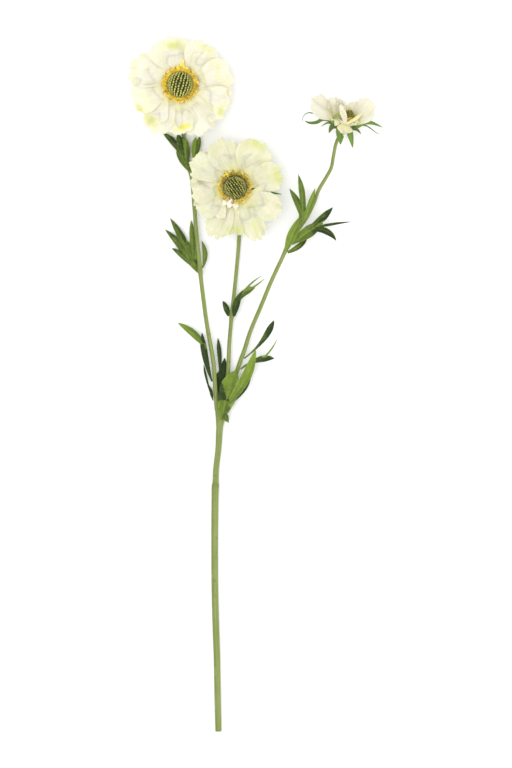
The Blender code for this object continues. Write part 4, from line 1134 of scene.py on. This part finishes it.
def bud_spots(bloom, wide, high):
    """Where buds stand on the dome: each one's place, its row's direction and its normal."""
    skin_length = 0.5 * math.pi * math.sqrt(0.5 * (wide ** 2 + high ** 2))
    turn = math.radians(bloom["bud_turn"])
    column_way = Vector((-math.sin(turn), math.cos(turn), 0.0))
    gap_across, gap_along = bloom["bud_grid"]
    count = int(skin_length / gap_along) + 1
    for column in range(-count, count + 1):
        for step in range(-count, count + 1):
            along = (step + 0.5 * (column % 2)) * gap_along
            across = column * gap_across + 0.22 * math.sin(0.8 * along + 2.1 * column)
            out = math.hypot(across, along)
            if out > skin_length * 0.97:
                continue
            spin = math.atan2(along, across) + turn
            angle = 0.5 * math.pi * out / skin_length
            spot = Vector((wide * math.sin(angle) * math.cos(spin),
                           wide * math.sin(angle) * math.sin(spin), high * math.cos(angle)))
            normal = Vector((spot.x / wide ** 2, spot.y / wide ** 2,
                             spot.z / high ** 2)).normalized()
            long_way = (column_way - normal * column_way.dot(normal)).normalized()
            yield spot, long_way, normal


def pincushion_skin(side, material):
    """The domed disc: closed buds standing in rows on a dark core."""
    bloom = BLOOMS[side]
    eye = Matrix.Translation(bloom["eye"])
    place = bloom_frame(bloom) @ eye @ Matrix.Translation((0, 0, HUB_HIGH + CONTACT_GAP))
    wide, high = bloom["bud_share"] * bloom["disc"], bloom["bud_share"] * bloom["dome"]
    shape = Shape()
    dome_core(shape, place, wide, high)
    rng = np.random.default_rng(SEEDS["buds"][side])
    bud, tips = bud_template()
    rings, sides, _ = bud.shape
    quads = grid_quads(rings, sides, True)[:, ::-1]
    gap_across, gap_along = bloom["bud_grid"]
    for spot, long_way, normal in bud_spots(bloom, wide, high):
        pose = Matrix((normal.cross(long_way) * -1, long_way, normal)).transposed().to_4x4()
        grown = rng.uniform(0.92, 1.04)
        stand = Matrix.Diagonal((0.66 * gap_across * grown, 1.06 * gap_along * grown,
                                 BUD_HEIGHT * rng.uniform(0.94, 1.06), 1.0))
        pose.translation = spot - normal * (BUD_SUNK + rng.uniform(0, 0.25))
        first = shape.count
        shape.add(placed(bud, place @ pose @ stand).reshape(-1, 3), quads,
                  tip=np.repeat(tips, sides), tone=rng.uniform(*bloom["bud_glow"]),
                  ripe=float(side == "right"))
        ring = np.arange(sides) + first
        shape.add_faces([ring[::-1], ring + (rings - 1) * sides])
    shape.build(f"pincushion_{side}_skin", material, "disc", f"pincushion_{side}")


def curl_path(rng, steps=10):
    """A filament that rises from the origin and curls over outwards along +X."""
    turns = rng.uniform(0.45, 0.8) * 2 * math.pi
    size = rng.uniform(0.7, 1.3)
    rise = rng.uniform(1.2, 2.4)
    lean = rng.uniform(-0.6, 0.6)
    path = []
    for i in range(steps):
        t = i / (steps - 1)
        a = turns * max(0.0, t - 0.3) / 0.7
        path.append((size * (1 - math.cos(a)) + 0.4 * t, lean * t,
                     rise * min(1.0, t / 0.3) + size * math.sin(a)))
    return np.array(path)


def loop_path(rng, reach, steps=11):
    """A floret's rim as a loop: out from the origin along +X and back."""
    a = np.linspace(0.0, np.pi, steps)
    width = rng.uniform(1.4, 2.8)
    lean = rng.uniform(-0.8, 0.8)
    return np.stack([reach * np.sin(a), 0.5 * width * np.cos(a) + lean * np.sin(a),
                     rng.uniform(0.6, 1.8) * np.sin(a) ** 0.7], axis=-1)


class Collar:
    """A bloom's floret ring in the making, measured in the bloom's own space."""

    def __init__(self, side):
        bloom = BLOOMS[side]
        self.place = bloom_frame(bloom) @ Matrix.Translation(bloom["eye"])
        self.outer, self.rim = bloom["collar"]
        self.inner = bloom["bud_share"] * bloom["disc"] + RING_MARGIN
        self.low = HUB_HIGH + CONTACT_GAP + RING_LIFT
        self.span = self.outer - self.inner
        self.olive = float(side != "left")
        self.white = 0.55 * (side == "right")
        self.count = int(bloom["frills"] * 2 * math.pi * self.inner / FLORET_PITCH)
        self.rng = np.random.default_rng(SEEDS["florets"][side])
        self.shape = Shape()

    def around(self, share, stray, shift=0.0):
        """Directions spread round the ring, each a little off its even place."""
        wanted = self.count * share
        for k in range(int(wanted)):
            yield 360.0 * (k + shift + self.rng.uniform(-stray, stray)) / wanted

    def skirt(self, rows=10, sides=160):
        """The frilled sheet under the florets, dark at its foot with painted shadow."""
        t = np.linspace(0.0, 1.0, rows)[:, None]
        turn = 2 * np.pi * np.arange(sides)[None, :] / sides
        teeth = 0.80 + 0.09 * np.sin(11 * turn) + 0.08 * np.sin(17 * turn + 1.0)
        radius = self.inner + self.span * t * teeth
        folds = 0.45 + 0.2 * np.sin(7 * turn) + 0.15 * np.sin(12 * turn)
        swell = (self.rim - self.low) * t ** 1.4 * folds
        grid = np.stack([radius * np.cos(turn), radius * np.sin(turn), self.low + swell], axis=-1)
        # The foot gets painted shadow; its brown and olive are partly the florets' colour and
        # partly painted shade round the disc.
        self.shape.sheet(placed(grid, self.place), 0.3, closed=True, pale=0.1 + 0.6 * t ** 2,
                         brown=0.6 * (1 - t) ** 2, olive=self.olive * (1 - t) ** 1.5,
                         shadow=0.95 * np.clip(1 - (2.2 - 0.9 * self.olive) * t, 0, 1))

    def florets(self, layer, share, lift, tall):
        """One layer of small florets, the upper ones shorter and steeper."""
        rng, olive = self.rng, self.olive
        for direction in self.around(1.0, 0.4, 0.35 * layer):
            reach = self.inner + self.span * share * rng.uniform(0.75, 1.12)
            grid, along, _ = petal_grid(reach - self.inner, rng.uniform(2.0, 3.0),
                                        rng.uniform(-0.5, 1.0), rng.uniform(0, 6), 0.5, (9, 8), rng,
                                        rng.uniform(0.1, 0.8))
            at = blade_frame(direction, lift + rng.uniform(-9, 9), rng.uniform(-30, 30), self.inner,
                             self.low + tall)
            behind = (0.3 + 0.5 * math.cos(math.radians(direction - 90)) + 0.3 * layer) * olive
            pale = np.clip(along * rng.uniform(0.2, 1.1) - 0.1 + 0.45 * olive, 0, 1)
            brown = rng.choice([0.0, 0.15, 0.5], p=[0.55, 0.3, 0.15]) * (1 - 0.5 * along)
            shadow = (0.5 + 0.4 * olive) * np.clip(1 - (2.4 - 0.8 * olive) * along, 0, 1)
            self.shape.sheet(placed(grid, self.place @ at), 0.16, pale=pale, brown=brown,
                             shadow=shadow, white=self.white,
                             olive=np.clip(behind * (1.3 - 0.9 * along), 0, 1))

    def filaments(self):
        """Brown filaments that curl over outwards."""
        for direction in self.around(0.9, 0.4):
            path = curl_path(self.rng) * (1.0, 1.0, 0.8)
            out = self.inner + self.rng.uniform(0.0, 0.5) * self.span
            radii = np.interp(np.linspace(0, 1, len(path)), [0, 0.8, 0.9, 1],
                              [0.2, 0.2, 0.42, 0.15])
            at = self.place @ spoke(direction, out, self.low + 0.6)
            self.shape.rod(placed(path, at), radii, 6, brown=self.rng.uniform(0.3, 1.0))

    def loops(self):
        """The rims of open florets, as loops."""
        for direction in self.around(0.8, 0.5):
            path = loop_path(self.rng, self.span * self.rng.uniform(0.45, 1.0))
            at = self.place @ spoke(direction, self.inner + 0.2, self.low + 0.7)
            self.shape.rod(placed(path, at), self.rng.uniform(0.16, 0.3), 6,
                           brown=self.rng.choice([0.1, 0.5, 0.95], p=[0.4, 0.35, 0.25]))

    def strap(self, direction, reach, width, lift, warmth):
        """A larger lobe; one with a warmth below 0 is a white flap that grows inwards."""
        grid, along, _ = petal_grid(reach - self.inner, width, -0.4, self.rng.uniform(0, 6), 0.25,
                                    (14, 12), self.rng, 0.75)
        at = blade_frame(direction, lift, self.rng.uniform(-12, 12), self.inner, self.low + 0.8)
        if warmth < 0:
            at = blade_frame(direction + 180, lift, self.rng.uniform(-12, 12), -reach,
                             self.low + 0.4)
        self.shape.sheet(placed(grid * (1, 1, 0.4), self.place @ at), 0.2,
                         pale=np.clip(warmth * along, 0, 1), white=max(0.0, -warmth),
                         olive=0.7 * (0 <= warmth < 0.2))


def floret_ring_skin(side, material):
    """The collar: a frilled skirt, small strap-like florets and curled brown filaments."""
    collar = Collar(side)
    collar.skirt()
    for layer, (share, lift, tall) in enumerate(((0.94, 10, 0.0), (0.78, 34, 0.5), (0.5, 58, 0.7))):
        collar.florets(layer, share, lift, tall)
    collar.filaments()
    collar.loops()
    for strap in BLOOMS[side]["straps"]:
        collar.strap(*strap)
    collar.shape.build(f"floret_ring_{side}_skin", material, "florets", f"floret_ring_{side}")


def bract_grid(length, width, droop, rows=26, cols=9):
    """A narrow pointed bract with a folded middle."""
    s = np.linspace(0.0, 1.0, rows)[:, None]
    v = np.linspace(-1.0, 1.0, cols)[None, :]
    swell = np.minimum(0.7 + s, np.cos(0.5 * np.pi * np.maximum(0.0, (s - 0.35) / 0.65)))
    half = 0.5 * width * np.maximum(swell, 0.02)
    z = -droop * s ** 2 + 0.1 * width * (1 - np.abs(v)) + 0.02 * np.sin(20 * s) * v
    return np.stack([length * s + 0 * v, half * v, z], axis=-1), s + 0 * v, v + 0 * s


def blade_grid(width, belly, route, cols=7, blunt=0.8):
    """A long narrow bract along a route, as a grid of points with a folded middle."""
    line = smooth_route([Vector(p) for p in route], 7)
    path = np.array([tuple(p) for p in line])
    s = np.linspace(0.0, 1.0, len(path))[:, None]
    v = np.linspace(-1.0, 1.0, cols)[None, :]
    rising = 0.5 + 0.5 * np.sin(0.5 * np.pi * np.minimum(1.0, s / belly))
    falling = np.cos(0.5 * np.pi * np.clip((s - belly) / (1 - belly), 0, 1)) ** blunt
    half = 0.5 * width * np.maximum(np.where(s < belly, rising, falling), 0.03)
    along = unit(np.gradient(path, axis=0))
    across = unit(np.cross(along, (0.0, 0.0, 1.0)))
    face = np.cross(across, along)
    fold = 0.16 * half * (1 - np.abs(v)) + 0.03 * np.sin(16 * s) * v
    grid = (path[:, None, :] + across[:, None, :] * (half * v)[..., None]
            + face[:, None, :] * fold[..., None])
    return grid, s + 0 * v, v + 0 * s


def involucre_skin(side, material):
    """The ribbed green cup under the bloom with its ring of pointed bracts."""
    bloom = BLOOMS[side]
    place = bloom_frame(bloom)
    rim = 0.5 * bloom["disc"] + 2.2
    top = HUB_LOW - CONTACT_GAP
    profile = [(2.1, -NECK_DEPTH), (2.7, -NECK_DEPTH + 2.0), (0.75 * rim, -4.2), (rim, top - 0.8),
               (rim, top)]
    line = smooth_route([Vector((r, z)) for r, z in profile], 5)
    shape = Shape()
    shape.rod(placed(np.array([(0, 0, p.y) for p in line]), place), [p.x * 0.98 for p in line], 48,
              ribs=16, rib_depth=0.035, tone=0.35)
    root = 0.55 * rim
    rng = np.random.default_rng(SEEDS["bracts"][side])
    for direction, reach, width, lift, droop in bloom["bracts"]:
        at = blade_frame(direction, lift, 0.0, root, top - 1.1)
        grid, along, across = bract_grid(reach - root, width, droop)
        shape.sheet(resting(placed(grid, place @ at)), BRACT_SKIN, tone=rng.uniform(0.1, 0.6),
                    vein=np.exp(-(across / 0.15) ** 2) * (1 - along), edge=np.abs(across) ** 10,
                    run=along * reach, off=across * 0.5 * width)
    for (width, belly, route), tone in zip(bloom["blades"], bloom["blade_tones"]):
        grid, along, across = blade_grid(width, belly, route)
        # One side of each blade is painted lighter and the other darker, as light and shade across
        # its fold.
        shape.sheet(grid, BRACT_SKIN, tone=tone + 0.16 * np.tanh(across / 0.3),
                    edge=np.abs(across) ** 10, run=along * 20.0, off=across * 0.5 * width,
                    vein=0.7 * np.exp(-(across / 0.16) ** 2) * (1 - along ** 2))
    shape.build(f"involucre_{side}_skin", material, "bract", f"involucre_{side}")


def make_stage():
    """A plain white table, soft studio light, and the camera straight above it."""
    scene = bpy.context.scene
    mesh = bpy.data.meshes.new("floor")
    corners = [(x * FLOOR_HALF, y * FLOOR_HALF, 0) for x, y in ((-1, -1), (1, -1), (1, 1), (-1, 1))]
    mesh.from_pydata(corners, [], [(0, 1, 2, 3)])
    recipe = Recipe("floor_white")
    colour = recipe.tinted(FLOOR_WHITE, FLOOR_SHADE, recipe.grain(40.0, 2.0), 0.03)
    mesh.materials.append(recipe.finish(colour, 0.9))
    floor = bpy.data.objects.new("floor", mesh)
    scene.collection.objects.link(floor)

    world = bpy.data.worlds.new("studio")
    world.use_nodes = True
    sky = world.node_tree.nodes["Background"].inputs
    sky["Color"].default_value = (1.0, 1.0, 1.0, 1.0)
    sky["Strength"].default_value = SKY_STRENGTH
    scene.world = world
    light = bpy.data.lights.new("key", "SUN")
    light.energy = SUN_STRENGTH
    light.angle = SUN_SOFTNESS
    lamp = bpy.data.objects.new("key", light)
    lamp.rotation_euler = [math.radians(a) for a in SUN_TURN]
    scene.collection.objects.link(lamp)

    camera = bpy.data.cameras.new("camera")
    camera.lens = LENS
    camera.sensor_fit = "VERTICAL"
    camera.sensor_height = SENSOR_HEIGHT
    camera.clip_end = 20
    looker = bpy.data.objects.new("camera", camera)
    looker.location = (*VIEW_CENTRE, VIEW_HEIGHT * LENS / SENSOR_HEIGHT)
    scene.collection.objects.link(looker)
    scene.camera = looker
    scene.view_settings.view_transform = "Standard"


def main():
    make_stage()
    stem = stem_material()
    leaf = leaf_material("leaf_blade", LEAF_DARK, LEAF_LIGHT)
    bract = leaf_material("bract_blade", BRACT_DARK, BRACT_LIGHT)
    petal, bud, floret = petal_material(), bud_material(), floret_material()
    main_stem_skin(stem)
    for side in STALKS:
        stalk_skin(side, stem)
    for name in LEAVES:
        leaf_skin(name, leaf)
    for side in BLOOMS:
        petals_skin(side, petal)
        pincushion_skin(side, bud)
        floret_ring_skin(side, floret)
        involucre_skin(side, bract)


main()
